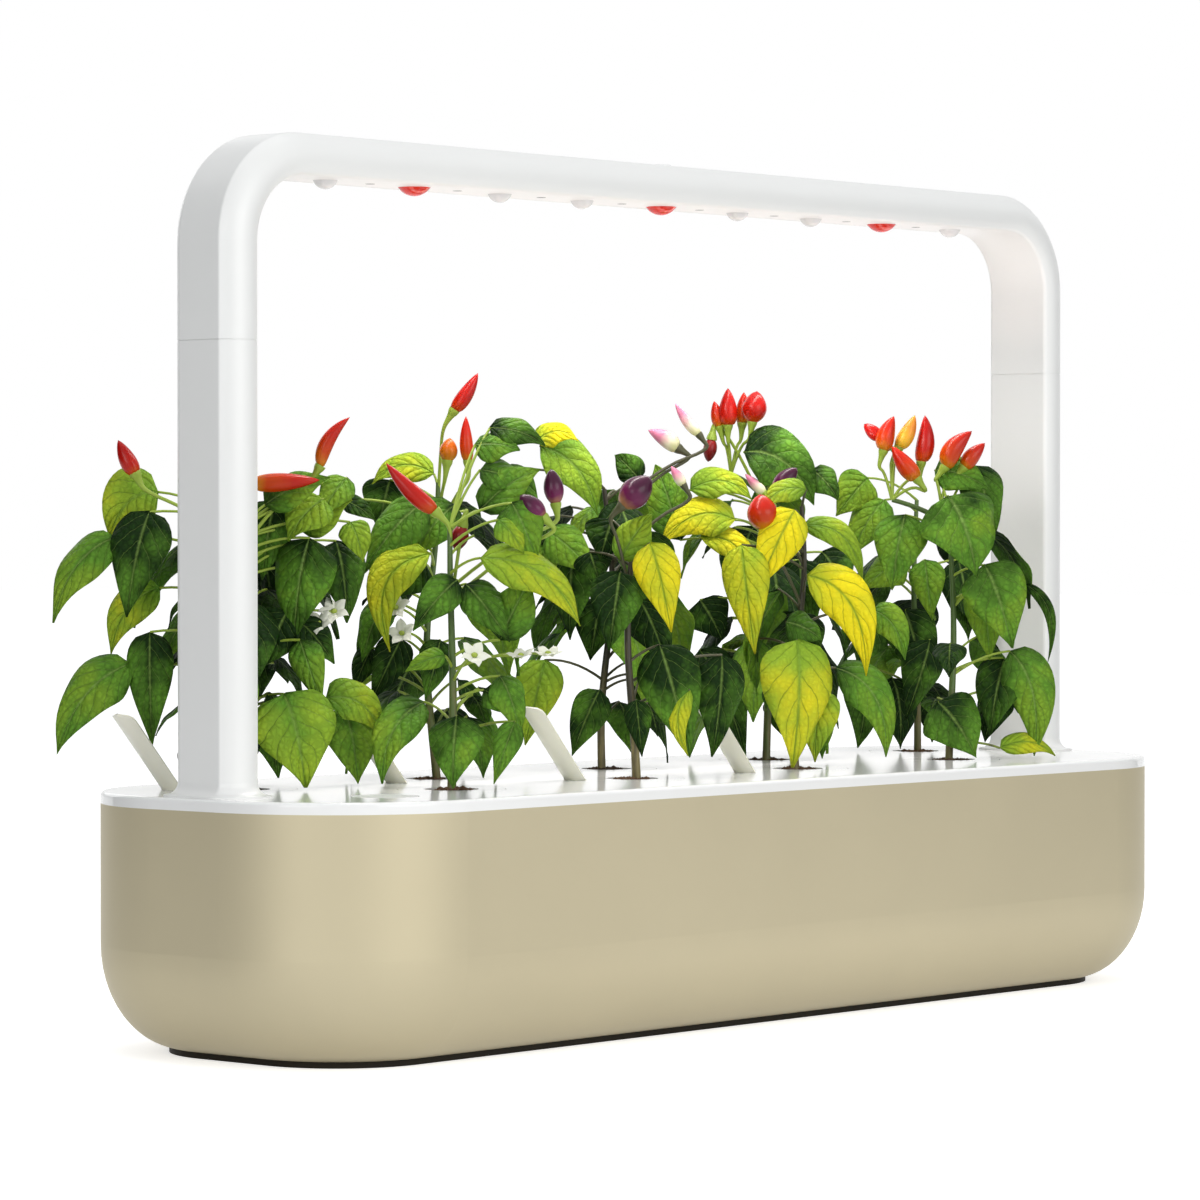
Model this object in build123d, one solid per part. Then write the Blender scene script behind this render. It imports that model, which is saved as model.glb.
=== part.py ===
from build123d import *
import math
import os

# Countertop hydroponic garden: a water tank with a lid of nine planted pods, and a
# grow lamp on two plug-in arms. Millimetres, +Z up, +X along the tank, +Y to the back.
# The origin is on the table under the middle of the tank.

# ---------------------------------------------------------------- tank
body_length = 607.0
body_depth = 185.0
corner_radius = 72.0
tank_wall = 2.6
rim_height = 105.5
bilge_height = 46.0
bilge_width = 34.0
bilge_drop = 44.0
plinth_height = 2.8
plinth_inset = 1.2
foot_radius = 9.0
foot_height = 1.8
foot_inset = 46.0
base_screw_radius = 1.5
base_screw_length = 7.0
base_screw_head = 3.0
base_screw_rows = 23.0
base_screw_inset = 101.5
screw_end_gap = 1.3
boss_wall = 2.5
boss_cap = 1.5

# ---------------------------------------------------------------- lid
lid_rise = 5.0
lid_plate = 3.0
lid_rim = 5.6
lid_edge = 1.8
skirt_wall = 1.8
skirt_depth = 8.0
skirt_gap = 0.5
fit_gap = 0.3

# ---------------------------------------------------------------- pods
pod_end_inset = 67.5
row_offset = 33.0
back_count = 5
flange_radius = 23.0
flange_thickness = 1.6
cup_radius = 13.0
cup_taper = 2.0
cup_depth = 54.0
cup_wall = 1.3
soil_sink = 1.0
wick_radius = 3.0
wick_drop = 7.0

# ---------------------------------------------------------------- float
float_inset = 42.5
float_radius = 14.0
float_height = 22.0
float_travel = 30.0
guide_wall = 1.4
guide_floor = 1.4
guide_port_radius = 4.0
guide_sill = 4.0
guide_lintel = 8.0
float_wall = 1.6
float_cap = 2.0
float_edge = 1.0

# ---------------------------------------------------------------- arch
arch_inset = 9.35
arch_thickness = 17.9
outer_face = 23.0
inner_face = 33.0
side_bulge = 36.7
edge_radius = 2.2
arch_wall = 2.2
arch_top = 385.8
arch_bend = 46.5
lamp_upright = 40.6
seam_groove = 0.4
spigot_height = 15.0
foot_flare = 6.0
flare_lip = 0.8
flare_land = 0.6
tongue_length = 20.0
tongue_width = 20.0
tongue_thickness = 9.0
socket_wall = 2.2

# ---------------------------------------------------------------- lamp
lens_end_inset = 74.55
lens_side_count = 4
clear_lens_radius = 5.2
red_lens_radius = 7.1
lens_drop = 3.8
lens_wall = 1.2
red_step_count = 3
cover_thickness = 2.0
cover_width = 25.0
board_width = 22.0
board_thickness = 1.6
board_gap = 3.3
board_overhang = 15.0
chip_size = 3.2
chip_height = 0.9
chip_pocket_radius = 2.9
cover_inset = 2.0
cover_gap = 0.1
heat_bar_thickness = 3.0
heat_bar_setback = 7.0
boss_radius = 3.0
cover_screw_radius = 1.2
cover_screw_head = 2.1
head_depth = 1.2
screw_gap = 0.08
button_radius = 4.5
button_proud = 1.4
button_travel = 1.0
button_flange = 1.3
button_flange_height = 1.2
button_edge = 0.6
button_gap = 0.2
button_seat_gap = 0.05
switch_gap = 0.1
switch_side = 6.0
wire_lift = 0.1
wire_slack = 2.0
wire_end_gap = 1.0

# ---------------------------------------------------------------- power
inlet_height = 16.5
inlet_radius = 3.9
inlet_bore = 2.8
inlet_pin = 1.0
inlet_body = 9.6
inlet_depth = 12.0
inlet_collar = 3.0
inlet_floor = 2.5
inlet_pin_root = 1.5
inlet_pin_recess = 2.0
inlet_gap = 0.1
wire_radius = 0.8
wire_spread = 3.0
contact_height = 12.0
contact_pin_radius = 1.0
contact_pin_length = 6.0
contact_pin_gap = 0.2

# ---------------------------------------------------------------- markers
marker_width = 12.0
marker_length = 46.0
marker_thickness = 1.6
marker_lean = 42.0
# Each marker: the row and number of the pod it stands by, and its steps from that pod.
marker_steps = (
    ("back", 1, -26.0, 17.0),
    ("back", 2, -39.0, -14.0),
    ("front", 2, -29.0, 9.0),
    ("front", 3, -46.0, -5.0),
)

# ---------------------------------------------------------------- plants
stem_radius = 2.4
branch_radius = 1.5
fork_drop = 30.0
stem_tip_drop = 4.0
tip_post = 4.0
leaf_count = 22
leaf_turn = 137.5
leaf_start = 20.0
leaf_low = 26.0
leaf_crowding = 0.8
top_leaf_drop = 6.0
leaf_length = 46.0
leaf_shortest = 20.0
leaf_width_ratio = 0.58
leaf_thickness = 1.6
leaf_widest = 0.42
leaf_droop = 55.0
leaf_reach = 50.0
leaf_tip_margin = 0.12
leaf_clear = 3.0
stalk_share = 0.38
stalk_radius = 1.2
stalk_rise = 14.0
plot_margin = 2.5
end_reach = 70.0
end_pass_angle = 28.0
fruit_stalk = 3.0
fruit_clear = 2.0
# Kinds of fruit: length, widest radius and radius of the tip.
fruit_kinds = {
    "long": (24.0, 4.0, 0.6),
    "small": (16.0, 3.4, 0.6),
    "stout": (16.5, 5.6, 2.6),
    "plum": (14.0, 4.6, 2.4),
    "round": (16.0, 7.2, 4.6),
    "bud": (18.0, 3.2, 0.8),
}
# Each plant: stem height above the lid, then its bunches of fruit. A bunch: where the
# head of its stalk stands, across and towards the back from the stem and above the lid,
# then its fruits as kind, steps from the head to the cap, lean from upright and turn.
front_plants = (
    (112.0, (
        (-5.0, 1.0, 110.0, (("long", -2.0, 1.0, 7.0, 46.0, 131.0),)),
        (22.0, -20.0, 128.0, (("plum", 2.0, -4.0, 0.0, 130.0, -40.0),)),
        (40.0, -20.0, 136.0, (("plum", 4.0, 0.0, 0.0, 140.0, -10.0),)),
    )),
    (112.0, (
        (-9.0, 4.0, 114.0, (("round", 1.0, -2.0, 6.0, 45.0, -49.0),)),
    )),
    (122.0, (
        (-25.0, -3.0, 102.0, (("round", -1.0, 0.0, 7.0, 7.0, 131.0),)),
        (-10.0, 10.0, 120.0, (("plum", 2.0, -1.0, 7.0, 45.0, -49.0),)),
    )),
    (122.0, (
        (-15.0, 13.0, 128.0, (
            ("small", -6.0, 11.0, 24.0, 48.0, 131.0),
            ("long", -10.0, 9.0, 19.0, 17.0, -49.0),
            ("long", -2.0, 6.0, 21.0, 27.0, -49.0),
            ("long", 8.0, 0.0, 14.0, 5.0, -49.0),
            ("long", -2.0, -6.0, 6.0, 37.0, 131.0),
        )),
        (2.0, 0.0, 132.0, (
            ("long", -4.0, 3.0, 8.0, 37.0, -49.0),
            ("small", 5.0, -2.0, 8.0, 41.0, -49.0),
        )),
    )),
)
back_plants = (
    (112.0, (
        (-27.0, 31.0, 124.0, (("small", -2.0, 3.0, 8.0, 27.0, 131.0),)),
        (20.0, -24.0, 126.0, (
            ("long", -2.0, 0.0, 5.0, 95.0, 131.0),
            ("long", 2.0, 1.0, 9.0, 29.0, -20.0),
        )),
    )),
    (132.0, (
        (1.0, -7.0, 152.0, (("long", 2.0, -2.0, 8.0, 31.0, -49.0),)),
        (-2.0, -19.0, 131.0, (
            ("long", 2.0, -2.0, 8.0, 2.0, 131.0),
            ("small", -4.0, 4.0, 8.0, 20.0, 160.0),
        )),
    )),
    (130.0, (
        (28.0, -25.0, 141.0, (
            ("bud", -3.0, 2.0, 6.0, 59.0, 131.0),
            ("bud", 3.0, -1.0, 12.0, 37.0, 131.0),
        )),
    )),
    (134.0, (
        (-14.0, 8.0, 146.0, (
            ("small", -5.0, 5.0, 12.0, 13.0, 131.0),
            ("long", -3.0, 0.0, 12.0, 4.0, 131.0),
            ("small", 5.0, 2.0, 14.0, 3.0, -49.0),
            ("stout", 3.0, -7.0, 14.0, 10.0, -49.0),
        )),
    )),
    (126.0, ()),
)

# ---------------------------------------------------------------- worked out
lid_top = rim_height + lid_rise
lid_under = lid_top - lid_plate
arch_length = body_length - 2 * arch_inset
arm_seam = arch_top - arch_bend - lamp_upright
pod_pitch = (body_length - 2 * pod_end_inset) / (back_count - 1)
lens_pitch = (arch_length / 2 - lens_end_inset) / lens_side_count
arm_x = arch_length / 2 - arch_thickness / 2
beam_z = arch_top - arch_thickness / 2
beam_under = arch_top - arch_thickness
bend_centre = arch_bend - arch_thickness / 2
bilge_end = math.asin((bilge_height - plinth_height) / bilge_drop)
floor_inset = bilge_width * (1 - math.cos(bilge_end))
floor_top = plinth_height + tank_wall
cover_top = beam_under + cover_thickness
board_under = cover_top + board_gap
board_top = board_under + board_thickness
bar_top = board_top + heat_bar_thickness
shell_ceiling = arch_top - arch_wall
flange_low = shell_ceiling - button_seat_gap - button_flange_height
lens_xs = [lens_pitch * k for k in range(-lens_side_count, lens_side_count + 1)]
red_xs = lens_xs[1::red_step_count]
clear_xs = [x for x in lens_xs if x not in red_xs]
screw_xs = [x + lens_pitch / 2 for x in lens_xs[:-1]]
board_half = lens_xs[-1] + board_overhang
cover_half = board_half - cover_inset
plug_top = lid_top - soil_sink
cup_bottom = lid_top - cup_depth
back_row = [(pod_pitch * (k - (back_count - 1) / 2), row_offset) for k in range(back_count)]
front_row = [(x + pod_pitch / 2, -row_offset) for x, y in back_row[:-1]]
rows = {"front": front_row, "back": back_row}
marker_places = [(rows[row][k - 1][0] + dx, rows[row][k - 1][1] + dy) for row, k, dx, dy in marker_steps]
float_x = back_row[0][0]
float_y = float_inset - body_depth / 2
marker_run = marker_length * math.sin(math.radians(marker_lean))
marker_top = lid_top + marker_length * math.cos(math.radians(marker_lean))
standing = (Align.CENTER, Align.CENTER, Align.MIN)

os.makedirs("parts", exist_ok=True)


def save(node, shape):
    """Write one sub-part under its node name."""
    export_step(shape, f"parts/{node}.step")


def group(solids):
    """Hold like pieces as separate solids in one node."""
    return Compound(children=list(solids))


def slab(inset, low, high):
    """Rounded slab of the tank's outline, drawn in by inset, between two heights."""
    outline = RectangleRounded(body_length - 2 * inset, body_depth - 2 * inset, corner_radius - inset)
    return Pos(0, 0, low) * extrude(outline, high - low)


def post(radius, low, high, x=0.0, y=0.0):
    """Upright round bar between two heights."""
    return Pos(x, y, low) * extrude(Circle(radius), high - low)


def block(size_x, size_y, low, high, x=0.0, y=0.0):
    """Upright square bar between two heights."""
    return Pos(x, y, low) * extrude(Rectangle(size_x, size_y), high - low)


def around(section):
    """Carry a wall section round the tank: x is 0 at the outline and negative inside."""
    half_x = body_length / 2 - corner_radius
    half_y = body_depth / 2 - corner_radius
    corner = revolve(Pos(corner_radius, 0, 0) * section, axis=Axis.Z, revolution_arc=90)
    corners = [
        Pos(half_x, half_y, 0) * corner,
        Pos(-half_x, half_y, 0) * Rot(0, 0, 90) * corner,
        Pos(-half_x, -half_y, 0) * Rot(0, 0, 180) * corner,
        Pos(half_x, -half_y, 0) * Rot(0, 0, 270) * corner,
    ]
    end = Pos(half_x + corner_radius, -half_y, 0) * extrude(section, 2 * half_y, dir=(0, 1, 0))
    side = Pos(half_y + corner_radius, -half_x, 0) * extrude(section, 2 * half_x, dir=(0, 1, 0))
    straights = [end, Rot(0, 0, 180) * end, Rot(0, 0, 90) * side, Rot(0, 0, 270) * side]
    whole = corners[0]
    for piece in corners[1:] + straights:
        whole = whole + piece
    return whole


# ---------------------------------------------------------------- tank pieces
def tank_section():
    """Upright wall that turns under in an ellipse to meet the floor."""
    turn = math.degrees(bilge_end)
    inner_turn = math.degrees(math.asin((bilge_height - floor_top) / (bilge_drop - tank_wall)))
    centre = (-bilge_width, bilge_height)
    outer = EllipticalCenterArc(centre, bilge_width, bilge_drop, -turn, arc_size=turn)
    inner = EllipticalCenterArc(centre, bilge_width - tank_wall, bilge_drop - tank_wall, -inner_turn,
                                arc_size=inner_turn)
    floor_edge = -bilge_width - tank_wall
    edges = [
        outer,
        Line(outer @ 1, (0, rim_height)),
        Line((0, rim_height), (-tank_wall, rim_height)),
        Line((-tank_wall, rim_height), inner @ 1),
        inner,
        Line(inner @ 0, (floor_edge, floor_top)),
        Line((floor_edge, floor_top), (floor_edge, plinth_height)),
        Line((floor_edge, plinth_height), outer @ 0),
    ]
    return Plane.XZ * make_face(Wire(edges))


def screw_places():
    """Six screws hold the plinth up to the tank floor."""
    reach_x = body_length / 2 - base_screw_inset
    return [(x, y) for x in (-reach_x, 0, reach_x) for y in (-base_screw_rows, base_screw_rows)]


def tank_shell():
    walls = around(tank_section())
    floor = slab(bilge_width, plinth_height, floor_top)
    tank = walls + floor
    thread_end = base_screw_length + screw_end_gap
    for x, y in screw_places():
        tank += post(base_screw_radius + boss_wall, plinth_height, thread_end + boss_cap, x, y)
        tank -= post(base_screw_radius + screw_gap, plinth_height, thread_end, x, y)
    return tank


def foot_places():
    reach_x = body_length / 2 - foot_inset - foot_radius
    reach_y = body_depth / 2 - foot_inset
    return [(sx * reach_x, sy * reach_y) for sx in (-1, 1) for sy in (-1, 1)]


def base_plinth():
    plinth = slab(floor_inset + plinth_inset, 0, plinth_height)
    for x, y in foot_places():
        plinth -= post(foot_radius + fit_gap, 0, foot_height, x, y)
    for x, y in screw_places():
        plinth -= post(base_screw_radius + screw_gap, 0, plinth_height, x, y)
        plinth -= post(base_screw_head + screw_gap, 0, head_depth, x, y)
    return plinth


def base_screws():
    for x, y in screw_places():
        head = post(base_screw_head, 0, head_depth, x, y)
        yield head + post(base_screw_radius, 0, base_screw_length, x, y)


save("tank_shell", tank_shell())
save("base_plinth", base_plinth())
save("rubber_feet", group(post(foot_radius, 0, foot_height, x, y) for x, y in foot_places()))
save("base_screws", group(base_screws()))


# ---------------------------------------------------------------- plant markers
def marker(x, y, grow=0.0):
    """Blank strip with a rounded top that leans to -X out of its slot in the lid."""
    sink = 2 * lid_plate
    straight = marker_length - marker_width / 2
    strip = Pos((straight - sink) / 2, 0) * Rectangle(straight + sink, marker_width + 2 * grow)
    tip = Pos(straight, 0) * Circle(marker_width / 2 + grow)
    plate = extrude(strip + tip, marker_thickness / 2 + grow, both=True)
    return Pos(x, y, lid_top) * Rot(0, -90 - marker_lean, 0) * plate


def markers():
    keep = block(body_length, body_depth, lid_under, lid_top + marker_length)
    return [marker(x, y) & keep for x, y in marker_places]


# ---------------------------------------------------------------- lid
def tongue_bar(grow, high, side):
    """An arm's tongue, grown on its sides and end, up to a height."""
    low = lid_top - tongue_length - grow
    return block(tongue_thickness + 2 * grow, tongue_width + 2 * grow, low, high, side * arm_x)


def lid():
    plate = slab(0, rim_height, lid_top)
    plate = fillet(plate.faces().sort_by(Axis.Z)[-1].edges(), lid_edge)
    plate -= slab(lid_rim, rim_height, lid_under)
    skirt_out = tank_wall + skirt_gap
    skirt = slab(skirt_out, rim_height - skirt_depth, lid_under)
    skirt -= slab(skirt_out + skirt_wall, rim_height - skirt_depth, lid_under)
    plate += skirt
    for side in (-1, 1):
        plate += tongue_bar(fit_gap + socket_wall, lid_under, side)
        plate -= tongue_bar(fit_gap, lid_top, side)
    for x, y in front_row + back_row:
        plate -= post(flange_radius + fit_gap, lid_top - flange_thickness, lid_top, x, y)
        plate -= post(cup_radius + fit_gap, lid_under, lid_top, x, y)
    plate -= post(float_radius + fit_gap, lid_under, lid_top, float_x, float_y)
    for x, y in marker_places:
        plate -= marker(x, y, grow=fit_gap / 2)
    return plate


def float_guide():
    """Open cage under the lid that keeps the float upright and stops it at the bottom."""
    bore = float_radius + fit_gap
    low = lid_top - float_height - float_travel - fit_gap - guide_floor
    cage = post(bore + guide_wall, low, lid_under, float_x, float_y)
    cage -= post(bore, low + guide_floor, lid_under, float_x, float_y)
    cage -= post(guide_port_radius, low, low + guide_floor, float_x, float_y)
    sill = low + guide_floor + guide_sill
    window = block(4 * bore, bore, sill, lid_under - guide_lintel, float_x, float_y)
    return cage - window


def water_float():
    low = lid_top - float_height
    body = post(float_radius, low, lid_top, float_x, float_y)
    body = fillet(body.faces().sort_by(Axis.Z)[-1].edges(), float_edge)
    return body - post(float_radius - float_wall, low, lid_top - float_cap, float_x, float_y)


save("plant_markers", group(markers()))
save("lid", lid())
save("float_guide", float_guide())
save("water_float", water_float())


# ---------------------------------------------------------------- arch section
def arch_face(inset=0.0):
    """Loaf section in local X (outward) and Y (across), drawn in by inset."""
    out = arch_thickness / 2
    crown = side_bulge / 2
    edges = [
        ThreePointArc((out, outer_face / 2), (0, crown), (-out, inner_face / 2)),
        Line((-out, inner_face / 2), (-out, -inner_face / 2)),
        ThreePointArc((-out, -inner_face / 2), (0, -crown), (out, -outer_face / 2)),
        Line((out, -outer_face / 2), (out, outer_face / 2)),
    ]
    face = make_face(Wire(edges))
    face = fillet(face.vertices(), edge_radius)
    return offset(face, amount=-inset) if inset else face


def arm_run(side, inset, low, high):
    """Upright stretch of the arch section on one side."""
    turn = Rot(0, 0, 0 if side > 0 else 180)
    return Pos(side * arm_x, 0, low) * extrude(turn * arch_face(inset), high - low)


def lamp_bar(inset, low):
    """Arch of one section: two uprights from low, two bends and the beam between them."""
    bend_z = arch_top - arch_bend
    bend_x = arch_length / 2 - arch_bend
    section = Plane.XY.offset(bend_z) * (Pos(arm_x, 0) * arch_face(inset))
    axis = Axis((bend_x, 0, bend_z), (0, -1, 0))
    bend = revolve(section, axis=axis, revolution_arc=90)
    upright = arm_run(1, inset, low, bend_z)
    beam_face = Plane(origin=(-bend_x, 0, beam_z), x_dir=(0, 0, 1), z_dir=(1, 0, 0)) * arch_face(inset)
    beam = extrude(beam_face, 2 * bend_x)
    half = upright + bend
    return half + beam + Rot(0, 0, 180) * half


# ---------------------------------------------------------------- extension arms
def arm(side):
    body = arm_run(side, 0, lid_top, arm_seam - seam_groove)
    lip = arm_run(side, -foot_flare, lid_top, lid_top + flare_lip)
    flare = body + lip
    root = flare.faces().filter_by(Axis.Z).group_by(Axis.Z)[1][0].inner_wires()[0]
    body = fillet(root.edges(), foot_flare - flare_land)
    body += arm_run(side, seam_groove, arm_seam - seam_groove, arm_seam)
    body += arm_run(side, arch_wall + fit_gap, arm_seam, arm_seam + spigot_height)
    shoulder = arm_seam - 2 * arch_wall
    body -= arm_run(side, arch_wall, lid_top + 2 * arch_wall, shoulder)
    body -= arm_run(side, 2 * arch_wall + fit_gap, shoulder, arm_seam + spigot_height)
    return body + tongue_bar(0, lid_top, side)


def inlet_z():
    return lid_top + inlet_height


def inlet_hole(radius, near, far):
    """Round bar along Y through the back of the left arm's foot."""
    start = Pos(-arm_x, near, inlet_z()) * Rot(-90, 0, 0)
    return start * extrude(Circle(radius), far - near)


def dc_inlet():
    """Barrel jack: a square body inside the arm with its collar flush in the back."""
    back = side_bulge / 2
    face = outer_face / 2
    box = Pos(-arm_x, face - inlet_depth / 2, inlet_z()) * Box(inlet_body, inlet_depth, inlet_body)
    jack = box + inlet_hole(inlet_radius, face - inlet_collar, back - fit_gap)
    floor = face - inlet_depth + inlet_floor
    jack -= inlet_hole(inlet_bore, floor, back)
    return jack + inlet_hole(inlet_pin, floor - inlet_pin_root, back - inlet_pin_recess)


def wire_ys():
    """Both leads rise from the top of the inlet's body."""
    first = outer_face / 2 - inlet_depth + 2 * wire_radius + fit_gap
    return [first, first + wire_spread]


def contact_face(gap):
    """Section of a block that fits inside the arch tube."""
    width = arch_thickness - 4 * arch_wall - 2 * fit_gap - 2 * gap
    return Rectangle(width, outer_face - 4 * arch_wall - 2 * gap)


def arm_contacts():
    high = arm_seam + spigot_height
    base = Pos(-arm_x, 0, high - contact_height) * extrude(contact_face(fit_gap), contact_height)
    for y in wire_ys():
        base += post(contact_pin_radius, high, high + contact_pin_length, -arm_x, y)
    return base


def lamp_contacts():
    low = arm_seam + spigot_height + fit_gap
    width = arch_thickness - 2 * arch_wall - 2 * fit_gap
    base = Pos(-arm_x, 0, low) * extrude(Rectangle(width, outer_face - 2 * arch_wall), contact_height)
    for y in wire_ys():
        base -= post(contact_pin_radius + contact_pin_gap, low, low + contact_pin_length, -arm_x, y)
    return base


def arm_wires():
    low = inlet_z() + inlet_body / 2
    high = arm_seam + spigot_height - contact_height
    return [post(wire_radius, low, high, -arm_x, y) for y in wire_ys()]


left_arm = arm(-1) - inlet_hole(inlet_radius + inlet_gap, 0, side_bulge)
save("extension_arm_left", left_arm)
save("extension_arm_right", arm(1))
save("dc_inlet", dc_inlet())
save("arm_contacts", arm_contacts())
save("arm_wires", group(arm_wires()))


# ---------------------------------------------------------------- lamp
def lens_bar(radius, x):
    """Domed lens with a collar that stands on the board's underside."""
    ball = (radius ** 2 + lens_drop ** 2) / (2 * lens_drop)
    dome = Pos(x, 0, beam_under - lens_drop + ball) * Sphere(ball)
    dome = dome & post(radius, beam_under - lens_drop, beam_under, x)
    body = dome + post(radius, beam_under, cover_top, x)
    body += post(radius + lens_wall, cover_top, board_under, x)
    return body - post(chip_pocket_radius, cover_top, board_under, x)


def screw_heads(radius):
    return [post(radius, beam_under, beam_under + head_depth, x) for x in screw_xs]


def screw_shanks(radius, high):
    return [post(radius, beam_under, high, x) for x in screw_xs]


def lamp_shell():
    shell = lamp_bar(0, arm_seam) - lamp_bar(arch_wall, arm_seam)
    shell -= Pos(0, 0, beam_under) * Box(2 * cover_half + 2 * fit_gap, cover_width + 2 * fit_gap,
                                         2 * (arch_wall + cover_thickness))
    shell += [post(boss_radius, bar_top, shell_ceiling + arch_wall / 2, x) for x in screw_xs]
    shell -= [post(cover_screw_radius + screw_gap, bar_top, bar_top + arch_wall, x) for x in screw_xs]
    return shell - post(button_radius + button_gap, shell_ceiling, arch_top)


def lamp_cover():
    cover = Pos(0, 0, beam_under + cover_thickness / 2) * Box(2 * cover_half, cover_width, cover_thickness)
    cover -= [post(red_lens_radius + cover_gap, beam_under, cover_top, x) for x in red_xs]
    cover -= [post(clear_lens_radius + cover_gap, beam_under, cover_top, x) for x in clear_xs]
    cover -= screw_heads(cover_screw_head + screw_gap)
    return cover - screw_shanks(cover_screw_radius + screw_gap, cover_top)


def led_board():
    middle = (board_under + board_top) / 2
    board = Pos(0, 0, middle) * Box(2 * board_half, board_width, board_thickness)
    board -= screw_shanks(cover_screw_radius + screw_gap, board_top)
    chips = [block(chip_size, chip_size, board_under - chip_height, board_under, x) for x in lens_xs]
    return group([board] + chips)


def heat_bar():
    middle = (board_top + bar_top) / 2
    bar = Pos(0, 0, middle) * Box(2 * (board_half - heat_bar_setback), board_width, heat_bar_thickness)
    return bar - screw_shanks(cover_screw_radius + screw_gap, bar_top)


def cover_screws():
    for x in screw_xs:
        head = post(cover_screw_head, beam_under, beam_under + head_depth, x)
        yield head + post(cover_screw_radius, beam_under, bar_top + arch_wall - fit_gap, x)


def lamp_wires():
    """Two leads up the left upright, round the bend and along to the board."""
    run_z = board_top + wire_radius + wire_lift
    low = arm_seam + spigot_height + fit_gap + contact_height
    turn = bend_centre - wire_slack
    end = -board_half + heat_bar_setback - wire_end_gap
    for y in wire_ys():
        path = FilletPolyline((-arm_x, y, low), (-arm_x, y, run_z), (end, y, run_z), radius=turn)
        section = Plane(origin=(-arm_x, y, low), z_dir=(0, 0, 1)) * Circle(wire_radius)
        yield sweep(section, path=path)


def power_button():
    cap = post(button_radius, flange_low, arch_top + button_proud)
    cap = fillet(cap.faces().sort_by(Axis.Z)[-1].edges(), button_edge)
    return cap + post(button_radius + button_flange, flange_low, flange_low + button_flange_height)


def button_switch():
    return block(switch_side, switch_side, bar_top, flange_low - button_travel - switch_gap)


save("lamp_shell", lamp_shell())
save("lamp_cover", lamp_cover())
save("led_board", led_board())
save("heat_bar", heat_bar())
save("lenses_red", group(lens_bar(red_lens_radius, x) for x in red_xs))
save("lenses_clear", group(lens_bar(clear_lens_radius, x) for x in clear_xs))
save("cover_screws", group(cover_screws()))
save("lamp_contacts", lamp_contacts())
save("lamp_wires", group(lamp_wires()))
save("power_button", power_button())
save("button_switch", button_switch())


# ---------------------------------------------------------------- pods
def pod_cup(x, y):
    """Tapered cup that hangs by a wide flange, with a hole for the wick."""
    cup = Pos(x, y, cup_bottom) * Cone(cup_radius - cup_taper, cup_radius, cup_depth, align=standing)
    cup += post(flange_radius, lid_top - flange_thickness, lid_top, x, y)
    hollow = Cone(cup_radius - cup_taper - cup_wall, cup_radius - cup_wall, cup_depth, align=standing)
    cup -= Pos(x, y, cup_bottom + cup_wall) * hollow
    return cup - post(wick_radius + fit_gap, cup_bottom, cup_bottom + cup_wall, x, y)


def soil_plug(x, y):
    """Growing plug with the wick that hangs from it into the water."""
    depth = plug_top - cup_bottom - cup_wall - fit_gap / 2
    gap = cup_wall + fit_gap
    slope = cup_taper * (soil_sink + cup_wall) / cup_depth
    cone = Cone(cup_radius - cup_taper - gap, cup_radius - gap - slope, depth, align=standing)
    plug = Pos(x, y, plug_top - depth) * cone
    return plug + post(wick_radius, cup_bottom - wick_drop, plug_top - depth, x, y)


# ---------------------------------------------------------------- plants
def room(x, y, angle):
    """Distance from a stem to the edge of its own plot, along an angle."""
    step_x, step_y = math.cos(angle), math.sin(angle) * (1 if y > 0 else -1)
    past_end = step_x * x > 0 and abs(x) + pod_pitch / 2 > arm_x
    if past_end and step_y > math.sin(math.radians(end_pass_angle)):
        return end_reach
    limit_x = pod_pitch / 2 - plot_margin
    if step_x * x > 0:
        limit_x = min(limit_x, arm_x - arch_thickness / 2 - abs(x) - plot_margin)
    limit_y = body_depth / 2 - row_offset if step_y > 0 else row_offset - plot_margin
    return min(limit_x / max(abs(step_x), 0.01), limit_y / max(abs(step_y), 0.01), leaf_reach)


def rod(start, end, radius):
    """Straight round bar from one point to another."""
    path = end - start
    return Plane(origin=start, z_dir=path) * extrude(Circle(radius), path.length)


def between(start, end, steps=6):
    """Points evenly spaced from one point to another."""
    return [start + (end - start) * (k / steps) for k in range(steps + 1)]


def leaf_floor(points, half_width):
    """Lowest height for a leaf: over a marker's top where it passes one, else over the lid."""
    for x, y in marker_places:
        for point in points:
            beside_x = abs(point.X - (x - marker_run / 2)) < marker_run / 2 + half_width
            beside_y = abs(point.Y - y) < marker_width / 2 + half_width
            if beside_x and beside_y:
                return marker_top + leaf_clear
    return lid_top + leaf_clear


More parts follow.
